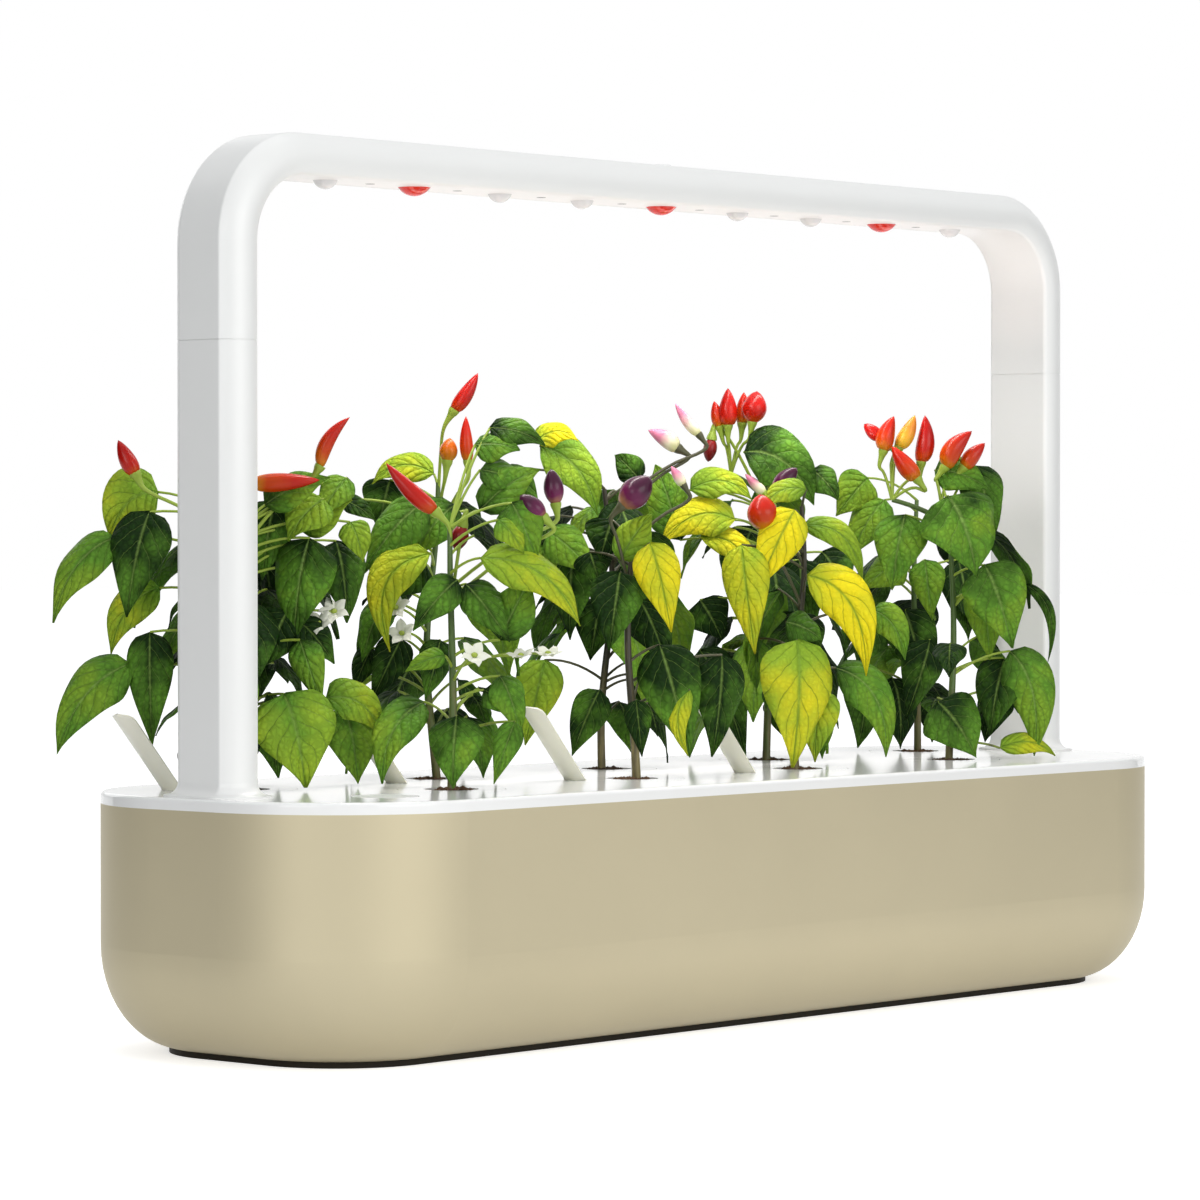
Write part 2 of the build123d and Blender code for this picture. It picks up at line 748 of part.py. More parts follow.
def leaf(x, y, base_z, angle, fruit_points):
    """Stalk and pointed oval blade that hangs to its tip, or nothing where fruit is in its way."""
    reach = room(x, y, angle) * (1 - leaf_tip_margin)
    stalk = stalk_share * reach
    span = min(1, (reach - stalk) / leaf_length)
    droop = max(math.radians(leaf_droop), math.acos(span))
    across = Vector(math.cos(angle), math.sin(angle), 0)
    start = Vector(x, y, base_z)
    knee = start + across * stalk + Vector(0, 0, stalk * math.tan(math.radians(stalk_rise)))
    along = across * math.cos(droop) - Vector(0, 0, math.sin(droop))
    up = across * math.sin(droop) + Vector(0, 0, math.cos(droop))
    half_width = leaf_length * leaf_width_ratio / 2
    floor = leaf_floor(between(start, knee + along * leaf_length), half_width)
    length = min(leaf_length, (knee.Z - floor) / math.sin(droop))
    if length < leaf_shortest:
        return []
    half_width = length * leaf_width_ratio / 2
    spine = between(start, knee) + between(knee, knee + along * length)
    for point in spine:
        for centre, radius in fruit_points:
            if (point - centre).length < radius + half_width + fruit_clear:
                return []
    middle = length * leaf_widest
    edges = [ThreePointArc((0, 0), (middle, side * half_width), (length, 0)) for side in (-1, 1)]
    blade = extrude(make_face(Wire(edges)), leaf_thickness / 2, both=True)
    blade = Plane(origin=knee, x_dir=along, z_dir=up) * blade
    return [rod(start, knee + (knee - start).normalized() * stalk_radius, stalk_radius), blade]


def branch(x, y, height, head):
    """Side branch from the fork up to a short upright tip with a flat end."""
    tip = Vector(head.X, head.Y, head.Z - tip_post - fruit_stalk)
    fork = Vector(x, y, min(tip.Z - fork_drop, lid_top + height - stem_tip_drop))
    return [rod(fork, tip, branch_radius), Pos(*tip) * Sphere(branch_radius),
            post(branch_radius, tip.Z, tip.Z + tip_post, tip.X, tip.Y)]


def fruit_way(lean, turn):
    """Direction in which a fruit points."""
    flat = math.sin(math.radians(lean))
    turn = math.radians(turn)
    return Vector(flat * math.cos(turn), flat * math.sin(turn), math.cos(math.radians(lean)))


def fruit(kind, cap, way):
    """Fruit with round shoulders that narrows to its tip."""
    length, radius, tip_radius = fruit_kinds[kind]
    shoulder = cap + way * radius
    body = Cone(radius, tip_radius, length - radius - tip_radius, align=standing)
    body += Pos(0, 0, length - radius - tip_radius) * Sphere(tip_radius)
    return Plane(origin=shoulder, z_dir=way) * body + Pos(*shoulder) * Sphere(radius)


def bunch(head, fruits):
    """Fruits on thin stalks that spread from one head at the tip of a branch."""
    whole = post(stalk_radius, head.Z - fruit_stalk, head.Z, head.X, head.Y)
    whole += Pos(*head) * Sphere(stalk_radius)
    for kind, dx, dy, dz, lean, turn in fruits:
        cap = head + Vector(dx, dy, dz)
        way = fruit_way(lean, turn)
        whole += rod(head, cap + way * stalk_radius, stalk_radius)
        whole += fruit(kind, cap, way)
    return whole


def fruit_reach(head, fruits):
    """Points along a bunch's stalks and fruits, each with the radius there."""
    for kind, dx, dy, dz, lean, turn in fruits:
        length, radius, tip_radius = fruit_kinds[kind]
        cap = head + Vector(dx, dy, dz)
        for point in between(head, cap):
            yield point, stalk_radius
        for point in between(cap, cap + fruit_way(lean, turn) * length):
            yield point, radius


def plant(x, y, height, bunches):
    """Stem with hanging leaves and fruiting branches, each within the plant's own plot."""
    fruit_points = [point for head, fruits in bunches for point in fruit_reach(head, fruits)]
    pieces = []
    for k in range(leaf_count):
        share = (k / (leaf_count - 1)) ** leaf_crowding
        rise = leaf_low + (height - top_leaf_drop - leaf_low) * share
        angle = math.radians(leaf_turn * k + leaf_start)
        pieces += leaf(x, y, lid_top + rise, angle, fruit_points)
    for head, fruits in bunches:
        pieces += branch(x, y, height, head)
    return post(stem_radius, plug_top, lid_top + height, x, y).fuse(*pieces)


def plant_row(row, spots, habits):
    """Cup, soil plug, plant and fruit for each pod of one row."""
    for k, (x, y) in enumerate(spots):
        height, bunches = habits[k % len(habits)]
        bunches = [(Vector(x + dx, y + dy, lid_top + rise), fruits) for dx, dy, rise, fruits in bunches]
        tag = f"{row}_{k + 1}"
        save(f"pod_cup_{tag}", pod_cup(x, y))
        save(f"soil_plug_{tag}", soil_plug(x, y))
        save(f"plant_{tag}", plant(x, y, height, bunches))
        if bunches:
            save(f"peppers_{tag}", group(bunch(head, fruits) for head, fruits in bunches))


plant_row("front", front_row, front_plants)
plant_row("back", back_row, back_plants)
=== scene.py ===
import math
import random
import bpy
from mathutils import Matrix, Vector


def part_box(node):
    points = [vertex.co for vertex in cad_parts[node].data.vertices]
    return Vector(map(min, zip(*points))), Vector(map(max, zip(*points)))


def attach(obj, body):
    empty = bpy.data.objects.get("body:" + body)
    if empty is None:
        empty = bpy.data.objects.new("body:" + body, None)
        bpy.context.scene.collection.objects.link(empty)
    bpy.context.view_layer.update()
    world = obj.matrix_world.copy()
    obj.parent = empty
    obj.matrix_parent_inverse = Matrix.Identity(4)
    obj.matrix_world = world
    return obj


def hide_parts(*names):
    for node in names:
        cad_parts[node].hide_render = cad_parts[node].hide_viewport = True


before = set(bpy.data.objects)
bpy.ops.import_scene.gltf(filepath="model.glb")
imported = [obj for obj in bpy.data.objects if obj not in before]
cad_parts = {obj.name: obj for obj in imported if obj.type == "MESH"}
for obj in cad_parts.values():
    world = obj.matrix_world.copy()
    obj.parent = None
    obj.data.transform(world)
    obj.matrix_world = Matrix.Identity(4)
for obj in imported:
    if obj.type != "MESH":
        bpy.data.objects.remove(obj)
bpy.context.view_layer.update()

# ------------------------------------------------------------------ camera
# A long lens a little above the lid's height looks along the garden from its front
# left corner, so that the front, the left end and the lid are all seen.
view_turn = 0.8569
view_dip = 0.0142
lens_mm = 143.93
sensor_mm = 36.0
camera_place = Vector((-1.6750, -1.4142, 0.2197))
camera_data = bpy.data.cameras.new("camera")
camera_data.lens = lens_mm
camera_data.sensor_width = sensor_mm
camera_data.sensor_fit = "HORIZONTAL"
camera_data.clip_end = 30
camera = bpy.data.objects.new("camera", camera_data)
camera.location = camera_place
camera.rotation_euler = (math.pi / 2 - view_dip, 0, -view_turn)
bpy.context.scene.collection.objects.link(camera)
bpy.context.scene.camera = camera

# ------------------------------------------------------------------ light, floor
# Soft studio light: big panels in front, overhead, to the left and behind, the lamp's own
# faint glow, its warm spill on the arch and a pale room. The floor is plain white, and
# throws only part of its light back up. Dim cards at both ends shade the garden and show
# in its gloss.
bpy.context.scene.view_settings.view_transform = "Standard"
white = (1.0, 1.0, 1.0)
garden_middle = (0.0, 0.0, 0.18)


def soft_panel(name, place, size, watts, colour, aim=garden_middle, spread=180):
    """Rectangle of light that faces a point, its beam as wide as spread, in degrees."""
    light = bpy.data.lights.new(name, "AREA")
    light.shape = "RECTANGLE"
    light.size = size[0]
    light.size_y = size[1]
    light.energy = watts
    light.color = colour
    light.spread = math.radians(spread)
    panel = bpy.data.objects.new(name, light)
    panel.location = place
    panel.rotation_euler = (Vector(aim) - Vector(place)).to_track_quat("-Z", "Y").to_euler()
    bpy.context.scene.collection.objects.link(panel)


soft_panel("key_panel", (-0.25, -1.9, 0.7), (1.3, 1.0), 12.5, (1.0, 0.99, 0.97))
soft_panel("top_panel", (0.0, 0.1, 2.2), (2.0, 1.2), 8, white)
soft_panel("left_panel", (-2.2, -0.6, 0.7), (1.0, 1.0), 9, white)
soft_panel("back_panel", (0.6, 2.4, 1.2), (2.0, 1.2), 7, white)
soft_panel("lamp_glow", (0.0, 0.0, 0.360), (0.44, 0.02), 0.37, (1.0, 0.94, 0.91), spread=125)
soft_panel("beam_glow", (0.0, 0.0, 0.310), (0.50, 0.02), 0.08, (1.0, 0.80, 0.74), (0.0, 0.0, 0.37))
soft_panel("corner_glow", (0.12, 0.0, 0.260), (0.05, 0.02), 0.0045, (1.0, 0.91, 0.87),
           (0.268, 0.0, 0.352), spread=45)
soft_panel("leg_glow", (-0.06, 0.0, 0.345), (0.12, 0.04), 0.010, (1.0, 0.96, 0.93),
           (0.27, 0.0, 0.24), spread=40)


class Tree:
    """The node tree of a material or a world."""

    def __init__(self, owner):
        owner.use_nodes = True
        self.nodes = owner.node_tree.nodes
        self.links = owner.node_tree.links

    def feed(self, inputs, values):
        """Feed inputs, each by its name or number, from a socket or with a plain value."""
        for key, value in values.items():
            if isinstance(value, bpy.types.NodeSocket):
                self.links.new(value, inputs[key])
            else:
                inputs[key].default_value = value

    def add(self, kind, values=None, **settings):
        """New node of a kind, with its settings and what its inputs are fed."""
        new_node = self.nodes.new("ShaderNode" + kind)
        for setting, value in settings.items():
            setattr(new_node, setting, value)
        self.feed(new_node.inputs, values or {})
        return new_node

    def maths(self, kind, *values):
        """What a Math node makes of sockets or numbers."""
        return self.add("Math", dict(enumerate(values)), operation=kind).outputs[0]

    def shown_apart(self, lit, seen):
        """Mix of a shader that lights the scene and one that is seen, also in gloss and through lenses."""
        rays = self.add("LightPath").outputs
        share = self.maths("MAXIMUM", rays["Is Camera Ray"], rays["Is Glossy Ray"])
        share = self.maths("MAXIMUM", share, rays["Is Transmission Ray"])
        return self.add("MixShader", {0: share, 1: lit, 2: seen}).outputs[0]


world = bpy.data.worlds.new("pale_room")
bpy.context.scene.world = world
room = Tree(world)
room.nodes.clear()
room_light = room.add("Background", {"Color": (0.96, 0.98, 1.0, 1), "Strength": 0.60}).outputs[0]
room_seen = room.add("Background", {"Color": (*white, 1), "Strength": 1.0}).outputs[0]
room.add("OutputWorld", {"Surface": room.shown_apart(room_light, room_seen)})


def deselect_all():
    """Leave edit mode, with nothing selected."""
    if bpy.context.object and bpy.context.object.mode != "OBJECT":
        bpy.ops.object.mode_set(mode="OBJECT")
    bpy.ops.object.select_all(action="DESELECT")


deselect_all()
bpy.ops.mesh.primitive_plane_add(size=24, location=(0, 0, 0))
floor = bpy.context.object
floor.name = "floor"
floor_paint = bpy.data.materials.new("floor_paint")
paint = Tree(floor_paint)
paint.nodes.clear()
floor_matt = paint.add("BsdfDiffuse", {"Color": (0.85, 0.85, 0.85, 1)}).outputs[0]
floor_lift = paint.add("Emission", {"Strength": 0.60}).outputs[0]
floor_seen = paint.add("AddShader", {0: floor_matt, 1: floor_lift}).outputs[0]
floor_bounce = paint.add("BsdfDiffuse", {"Color": (0.80, 0.80, 0.80, 1)}).outputs[0]
paint.add("OutputMaterial", {"Surface": paint.shown_apart(floor_bounce, floor_seen)})
floor.data.materials.append(floor_paint)


def grey_card(name, place, size, grey):
    """Dim upright card that keeps the light off one end of the garden."""
    deselect_all()
    bpy.ops.mesh.primitive_plane_add(size=1, location=(0, 0, 0))
    card = bpy.context.object
    card.name = name
    facing = Vector((place[0], place[1], 0)).to_track_quat("Z", "Y").to_matrix().to_4x4()
    card.data.transform(Matrix.Translation(place) @ facing @ Matrix.Diagonal((size[1], size[0], 1, 1)))
    card_paint = bpy.data.materials.new(name)
    tree = Tree(card_paint)
    tree.nodes.clear()
    glow = tree.add("Emission", {"Color": (grey, grey, grey, 1)}).outputs[0]
    tree.add("OutputMaterial", {"Surface": glow})
    card.data.materials.append(card_paint)
    card.visible_camera = False
    card.visible_transmission = False
    card.visible_shadow = False


grey_card("left_card", (-1.05, 0.95, 0.40), (2.0, 2.2), 0.04)
grey_card("right_card", (1.30, -0.65, 0.35), (0.8, 1.2), 0.12)

# ------------------------------------------------------------------ tank
# The tank is moulded plastic in a champagne pearl paint. The paint has a very fine
# grain and a slow cloudiness, and its sheen is broad.
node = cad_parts


def finish_with(material, *names):
    """Give one material to CAD nodes."""
    for name in names:
        node[name].data.materials.clear()
        node[name].data.materials.append(material)


class Skin(Tree):
    """A new material with its Principled shader's inputs and the place in the object."""

    def __init__(self, name):
        self.material = bpy.data.materials.new(name)
        super().__init__(self.material)
        self.shader = self.nodes["Principled BSDF"].inputs
        self.place = self.add("TexCoord").outputs["Object"]

    def flat_place(self):
        """Place on the surface's own flat map."""
        return self.add("UVMap", uv_map="UVMap").outputs["UV"]

    def noise(self, scale, detail=2.0, at=None):
        """Noise, read at the place in the object unless another is given."""
        return self.add("TexNoise", {"Scale": scale, "Detail": detail, "Vector": at or self.place}).outputs

    def ramp(self, value, *stops):
        """Colour of a value between stops, each a position and a colour."""
        ramp = self.add("ValToRGB", {"Fac": value})
        marks = ramp.color_ramp.elements
        marks.remove(marks[1])
        marks[0].position = stops[0][0]
        marks[0].color = (*stops[0][1], 1)
        for position, colour in stops[1:]:
            marks.new(position).color = (*colour, 1)
        return ramp.outputs["Color"]

    def relief(self, height, strength, distance):
        """Bumps on the shader's normal."""
        bump = self.add("Bump", {"Height": height, "Strength": strength, "Distance": distance})
        self.feed(self.shader, {"Normal": bump.outputs["Normal"]})


def moulded(name, colour, roughness, grain=2400.0, grain_depth=0.04, cloud=0.03, metallic=0.0, shine=0.5):
    """Moulded or painted surface: a colour with slow clouding, and a fine grain in gloss and relief."""
    skin = Skin(name)
    slow = skin.noise(14.0, 3.0)["Fac"]
    fine = skin.noise(grain)["Fac"]
    dark = [c * (1 - cloud) for c in colour]
    pale = [min(1.0, c * (1 + cloud)) for c in colour]
    gloss = skin.add("MapRange", {"Value": fine, "To Min": roughness * 0.9, "To Max": roughness * 1.1})
    skin.relief(fine, grain_depth, 0.0002)
    skin.feed(skin.shader, {"Base Color": skin.ramp(slow, (0.3, dark), (0.7, pale)), "Metallic": metallic,
                            "Roughness": gloss.outputs["Result"], "Specular IOR Level": shine})
    return skin.material


champagne = moulded("champagne_pearl", (0.530, 0.472, 0.325), 0.48, cloud=0.02, metallic=0.42, shine=0.12)
finish_with(champagne, "tank_shell")

# ------------------------------------------------------------------ plinth
# Nearly black plinth screwed up under the tank, with four rubber feet let into it and
# six plated screws.
plinth_black = moulded("plinth_black", (0.014, 0.011, 0.006), 0.6, shine=0.15)
rubber = moulded("foot_rubber", (0.025, 0.025, 0.025), 0.8, grain=900.0, grain_depth=0.2)
plated = moulded("plated_steel", (0.55, 0.55, 0.56), 0.3, metallic=1.0)
finish_with(plinth_black, "base_plinth", "dc_inlet", "button_switch")
finish_with(rubber, "rubber_feet")
finish_with(plated, "base_screws")

# ------------------------------------------------------------------ lid, pods, float
# The lid, the pod cups and the button are polished white plastic, glossy enough to
# mirror the leaves that hang over the lid. The float and its guide are satin.
white_gloss = moulded("white_gloss", (0.88, 0.885, 0.88), 0.11, grain=1200.0, grain_depth=0.01, cloud=0.008)
pods = ["front_1", "front_2", "front_3", "front_4", "back_1", "back_2", "back_3", "back_4", "back_5"]
finish_with(white_gloss, "lid", "power_button", *[f"pod_cup_{pod}" for pod in pods])
white_satin = moulded("white_satin", (0.83, 0.835, 0.825), 0.34, grain_depth=0.03, cloud=0.008)
finish_with(white_satin, "float_guide", "water_float")

# ------------------------------------------------------------------ arch
# Both arms and the lamp are satin white mouldings. Black screws hold the strip under
# the beam. Inside are brass contacts, red leads, a white board with chips and an
# aluminium bar.
finish_with(white_satin, "extension_arm_left", "extension_arm_right", "lamp_shell", "lamp_cover")
brass = moulded("contact_brass", (0.72, 0.52, 0.20), 0.28, metallic=1.0)
lead_sleeve = moulded("lead_sleeve", (0.35, 0.02, 0.02), 0.45)
board_white = moulded("board_white", (0.78, 0.78, 0.76), 0.4)
bar_metal = moulded("bar_metal", (0.72, 0.73, 0.74), 0.35, grain=500.0, metallic=1.0)
screw_black = moulded("blackened_steel", (0.030, 0.026, 0.022), 0.5)
finish_with(brass, "arm_contacts", "lamp_contacts")
finish_with(screw_black, "cover_screws")
finish_with(lead_sleeve, "arm_wires", "lamp_wires")
finish_with(board_white, "led_board")
finish_with(bar_metal, "heat_bar")


# ------------------------------------------------------------------ lenses
# Clear lenses over the white chips and larger red ones over the red chips, moulded
# in acrylic with a faint ripple that spreads the light.
def lens_acrylic(name, colour, clear):
    skin = Skin(name)
    skin.relief(skin.noise(420.0)["Fac"], 0.3, 0.0004)
    skin.feed(skin.shader, {"Base Color": (*colour, 1), "Transmission Weight": clear,
                            "Roughness": 0.08, "IOR": 1.49})
    return skin.material


finish_with(lens_acrylic("red_acrylic", (0.78, 0.025, 0.015), 0.15), "lenses_red")
finish_with(lens_acrylic("clear_acrylic", (0.93, 0.94, 0.95), 0.25), "lenses_clear")

# ------------------------------------------------------------------ plant markers
# Four blank strips of milky plastic, moulded as shallow gutters with a round end.
# Each is pushed into a slot in the lid and leans to the left.
marker_places = ((-0.262, 0.050), (-0.157, 0.019), (-0.088, -0.024), (0.013, -0.038))
marker_width = 0.0118
marker_length = 0.0455
marker_wall = 0.0011
marker_sink = 0.0038
marker_lean = math.radians(42.0)
marker_sag = 0.0022
marker_tip = 0.0004
lid_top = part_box("lid")[1].z

milky = moulded("milky_plastic", (0.90, 0.885, 0.76), 0.34, grain=900.0, grain_depth=0.05)
milky_shader = milky.node_tree.nodes["Principled BSDF"].inputs
milky_shader["Transmission Weight"].default_value = 0.12
milky_shader["Subsurface Weight"].default_value = 0.2
milky_shader["Subsurface Radius"].default_value = (0.004, 0.004, 0.003)


def join_as(name, pieces, material=None):
    """One object from like pieces, in one material unless each keeps its own."""
    deselect_all()
    for piece in pieces:
        piece.select_set(True)
    bpy.context.view_layer.objects.active = pieces[0]
    if len(pieces) > 1:
        bpy.ops.object.join()
    whole = bpy.context.object
    whole.name = name
    if material:
        whole.data.materials.clear()
        whole.data.materials.append(material)
    return whole


def thicken(sheet, wall):
    """Give the active sheet a wall, half of it to each side."""
    shell = sheet.modifiers.new("wall", "SOLIDIFY")
    shell.thickness = wall
    shell.offset = 0
    bpy.ops.object.modifier_apply(modifier="wall")


markers = []
half_marker = marker_width / 2
lean = Matrix.Rotation(-marker_lean, 4, "Y")
for x, y in marker_places:
    deselect_all()
    bpy.ops.mesh.primitive_grid_add(x_subdivisions=8, y_subdivisions=24, size=1)
    strip = bpy.context.object
    for v in strip.data.vertices:
        along = -marker_sink + (v.co.y + 0.5) * (marker_length + marker_sink)
        past_straight = max(0.0, along - (marker_length - half_marker)) / half_marker
        half = half_marker * math.sqrt(max(marker_tip, 1 - min(1.0, past_straight) ** 2))
        across = v.co.x * 2
        sag = marker_sag * (across * half / half_marker) ** 2
        flat = Vector((sag - marker_sag / 2, across * half, along))
        v.co = lean @ flat + Vector((x, y, lid_top))
    thicken(strip, marker_wall)
    markers.append(strip)
marker_strips = join_as("marker_strips", markers, milky)
bpy.ops.object.shade_smooth_by_angle(angle=math.radians(40))
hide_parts("plant_markers")
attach(marker_strips, "lid")

# ------------------------------------------------------------------ growing soil
# Dark brown fibrous soil fills each pod, with loose crumbs round the stem.
soil_brown = moulded("growing_soil", (0.085, 0.042, 0.018), 0.9, grain=420.0, grain_depth=0.9, cloud=0.6)
finish_with(soil_brown, *[f"soil_plug_{pod}" for pod in pods])
crumb_count = 46
crumb_size = 0.0016
crumb_sizes = (0.5, 1.1)
crumb_lift = 0.3
crumb_seed = 70


def soil_crumbs(pod, rng):
    """Crumbs scattered on the soil of one pod."""
    low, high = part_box(f"soil_plug_{pod}")
    middle = (low + high) / 2
    spread = (high.x - low.x) / 2 - 2 * crumb_size
    made = []
    for k in range(crumb_count):
        turn = rng.uniform(0, 2 * math.pi)
        reach = spread * math.sqrt(rng.random())
        size = crumb_size * rng.uniform(*crumb_sizes)
        x = middle.x + reach * math.cos(turn)
        y = middle.y + reach * math.sin(turn)
        place = (x, y, high.z + size * crumb_lift)
        deselect_all()
        bpy.ops.mesh.primitive_ico_sphere_add(subdivisions=1, radius=size, location=place)
        crumb = bpy.context.object
        crumb.scale = (rng.uniform(0.7, 1.5), rng.uniform(0.7, 1.3), rng.uniform(0.6, 1.0))
        bpy.ops.object.transform_apply(location=True, rotation=True, scale=True)
        made.append(crumb)
    crumbs = join_as(f"soil_crumbs_{pod}", made, soil_brown)
    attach(crumbs, f"pod_{pod}")


for pod in pods:
    soil_crumbs(pod, random.Random(crumb_seed + pods.index(pod)))

# ------------------------------------------------------------------ plants
# Pepper plants: upright stems that fork near the top, pointed oval leaves that hang
# from thin stalks, bunches of upright peppers, and small white flowers.
up = Vector((0, 0, 1))
camera_right = Vector((math.cos(view_turn), -math.sin(view_turn), 0))
camera_ahead = Vector((math.sin(view_turn), math.cos(view_turn), 0))
frame_side = 1200
frame_focal = lens_mm / sensor_mm * frame_side
plot_end = 0.316
plot_half = 0.0565
plot_gap = 0.0025
plot_deep = 0.0920


def stem_foot(pod):
    """Middle of a pod's soil, at its top."""
    low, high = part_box(f"soil_plug_{pod}")
    return Vector(((low.x + high.x) / 2, (low.y + high.y) / 2, high.z))


def frame_point(pod, seen, toward):
    """Point seen at a place in the camera's square frame, on the upright plane through a
    stem that faces the camera, brought a few mm towards it."""
    across = (seen[0] - frame_side / 2) / frame_focal
    rise = -(seen[1] - frame_side / 2) / frame_focal
    level = math.cos(view_dip) + rise * math.sin(view_dip)
    ray = camera_right * across + camera_ahead * level
    ray.z = rise * math.cos(view_dip) - math.sin(view_dip)
    depth = (stem_foot(pod) - camera_place).dot(camera_ahead) - toward / 1000
    return camera_place + ray * (depth / level)


def plot_of(pod):
    """Lowest and highest x and y that a plant may reach, so that its pod lifts out past the others."""
    foot = stem_foot(pod)
    low_x = -plot_end if pod == "back_1" else foot.x - plot_half
    high_x = plot_end if pod == "back_5" else foot.x + plot_half
    return (low_x, high_x, -plot_deep, -plot_gap) if foot.y < 0 else (low_x, high_x, plot_gap, plot_deep)


# Leaf blades: deep to yellow green, with a pale midrib, side veins that run forward, and
# a puckered, waxy face, its grooves darkened with painted shade. Each is a grid bent along its own midrib,
# its tip hanging.
blade_rows = 16
blade_columns = 8
blade_wall = 0.00035
tip_clear = 0.0012
base_power = 0.55
tip_power = 1.15
narrowest = 0.015
bows = (0.14, 0.24)
bow_rise = 0.06
folds = (0.12, 0.45)
curl_back = 0.5
ruffle_depth = 0.07
ruffle_pace = 13


def leaf_skin():
    """Veins from the blade's flat map, greens from its tone, patches and painted shade in the puckers from
    the place in the object.
    """
    skin = Skin("leaf_skin")
    maths = skin.maths

    def fade(value, pace):
        """One where a value is zero, falling to zero as it grows."""
        return maths("MAXIMUM", maths("SUBTRACT", 1.0, maths("MULTIPLY", value, pace)), 0.0)

    flat = skin.flat_place()
    parts = skin.add("SeparateXYZ", {0: flat}).outputs
    aside = maths("ABSOLUTE", maths("SUBTRACT", parts["X"], 0.5))
    along = parts["Y"]
    wander = skin.noise(6.0, at=flat)["Fac"]
    slant = maths("SUBTRACT", along, maths("MULTIPLY", aside, 0.75))
    slant = maths("ADD", slant, maths("MULTIPLY", wander, 0.07))
    wave = maths("ABSOLUTE", maths("SINE", maths("MULTIPLY", slant, 17.0)))
    vein = maths("MAXIMUM", fade(aside, 26.0), maths("MULTIPLY", fade(wave, 7.0), 0.75))

    tone = skin.add("Attribute", attribute_name="tone").outputs["Fac"]
    patch = skin.noise(55.0, 4.0)
    cloud = maths("MULTIPLY", maths("SUBTRACT", patch["Fac"], 0.5), 0.75)
    base_green = maths("MULTIPLY", fade(along, 2.4), 0.22)
    rib_green = maths("MULTIPLY", fade(aside, 8.0), 0.10)
    shade = maths("SUBTRACT", maths("ADD", tone, cloud), maths("ADD", base_green, rib_green))
    green = skin.ramp(shade, (0.0, (0.009, 0.031, 0.004)), (0.24, (0.112, 0.268, 0.026)),
                      (0.6, (0.290, 0.430, 0.030)), (1.0, (0.80, 0.68, 0.016)))
    vein_green = skin.ramp(tone, (0.35, (0.24, 0.38, 0.09)), (0.8, (0.20, 0.33, 0.03)))
    vein_share = maths("MULTIPLY", vein, 0.72)
    veined = skin.add("Mix", {"Factor": vein_share, "A": green, "B": vein_green}, data_type="RGBA")

    # Puckers: the cells of a warped Voronoi net, raised in the relief. Their colour gets painted shade,
    # darker towards the grooves between cells, and a faint painted highlight on the swells, both strongest
    # on deep green leaves.
    warp = skin.add("VectorMath", {0: patch["Color"], 1: (0.004, 0.004, 0.004), 2: skin.place},
                    operation="MULTIPLY_ADD").outputs["Vector"]
    quilt = skin.add("TexVoronoi", {"Vector": warp, "Scale": 360.0, "Randomness": 0.9},
                     feature="DISTANCE_TO_EDGE")
    swell = skin.add("MapRange", {"Value": quilt.outputs["Distance"], "From Max": 0.32},
                     interpolation_type="SMOOTHSTEP").outputs["Result"]
    depth = maths("MAXIMUM", maths("SUBTRACT", 0.36, maths("MULTIPLY", tone, 0.34)), 0.06)
    groove_shade = maths("SUBTRACT", 1.08, maths("MULTIPLY", maths("SUBTRACT", 1.0, swell), depth))
    groove_shaded = skin.add("VectorMath", {0: veined.outputs["Result"], "Scale": groove_shade}, operation="SCALE")

    height = maths("ADD", maths("MULTIPLY", wave, 0.6), patch["Fac"])
    height = maths("ADD", height, maths("MULTIPLY", swell, 0.3))
    skin.relief(maths("SUBTRACT", height, vein), 0.7, 0.0012)
    skin.feed(skin.shader, {"Base Color": groove_shaded.outputs["Vector"], "Roughness": 0.55,
                            "Specular IOR Level": 0.08, "Subsurface Weight": 0.12,
                            "Subsurface Radius": (0.002, 0.003, 0.001)})
    return skin.material


leaf_green = leaf_skin()
deselect_all()
bpy.ops.mesh.primitive_grid_add(x_subdivisions=blade_columns, y_subdivisions=blade_rows, size=1)
leaf_blank = bpy.context.object


def copy_of(blank):
    """Copy of an object with a mesh of its own."""
    copy = blank.copy()
    copy.data = blank.data.copy()
    bpy.context.scene.collection.objects.link(copy)
    return copy


def swell_share(along, low_power, high_power):
    """Half width along a blade or a fruit as a share of its widest: full base, drawn-out tip."""
    widest = low_power / (low_power + high_power)
    peak = widest ** low_power * (1 - widest) ** high_power
    return along ** low_power * (1 - along) ** high_power / peak


def hang_leaf(stalk, tip, width, face, tone, rng, sweep=0.0):
    """Blade from the stalk's end to a hanging tip, its face turned one way and its midrib swept aside."""
    floor_z = lid_top + tip_clear
    tip = Vector((tip.x, tip.y, max(tip.z, floor_z)))
    stalk = Vector((stalk.x, stalk.y, max(stalk.z, floor_z)))
    run = tip - stalk
    bow = face * run.length * rng.uniform(*bows)
    bow.z += run.length * bow_rise
    bend_at = (stalk + tip) / 2 + bow + run.cross(camera_ahead) * sweep
    fold = rng.uniform(*folds)
    phase = rng.uniform(0, 2 * math.pi)
    leaf = copy_of(leaf_blank)
    half = width / 2
    for v in leaf.data.vertices:
        across = v.co.x * 2
        along = v.co.y + 0.5
        centre = stalk * (1 - along) ** 2 + bend_at * 2 * along * (1 - along) + tip * along ** 2
        heading = ((bend_at - stalk) * (1 - along) + (tip - bend_at) * along).normalized()
        side = heading.cross(face).normalized()
        front = side.cross(heading)
        reach = half * max(swell_share(along, base_power, tip_power), narrowest) * across
        lift = abs(reach) * fold - curl_back * reach * reach / half
        wave = math.sin(ruffle_pace * along + phase + (2 if across > 0 else 0))
        ruffle = ruffle_depth * half * wave * across ** 2
        v.co = centre + side * reach + front * (lift + ruffle)
        v.co.z = max(v.co.z, floor_z)
    tones = leaf.data.attributes.new("tone", "FLOAT", "POINT")
    for value in tones.data:
        value.value = tone
    return leaf


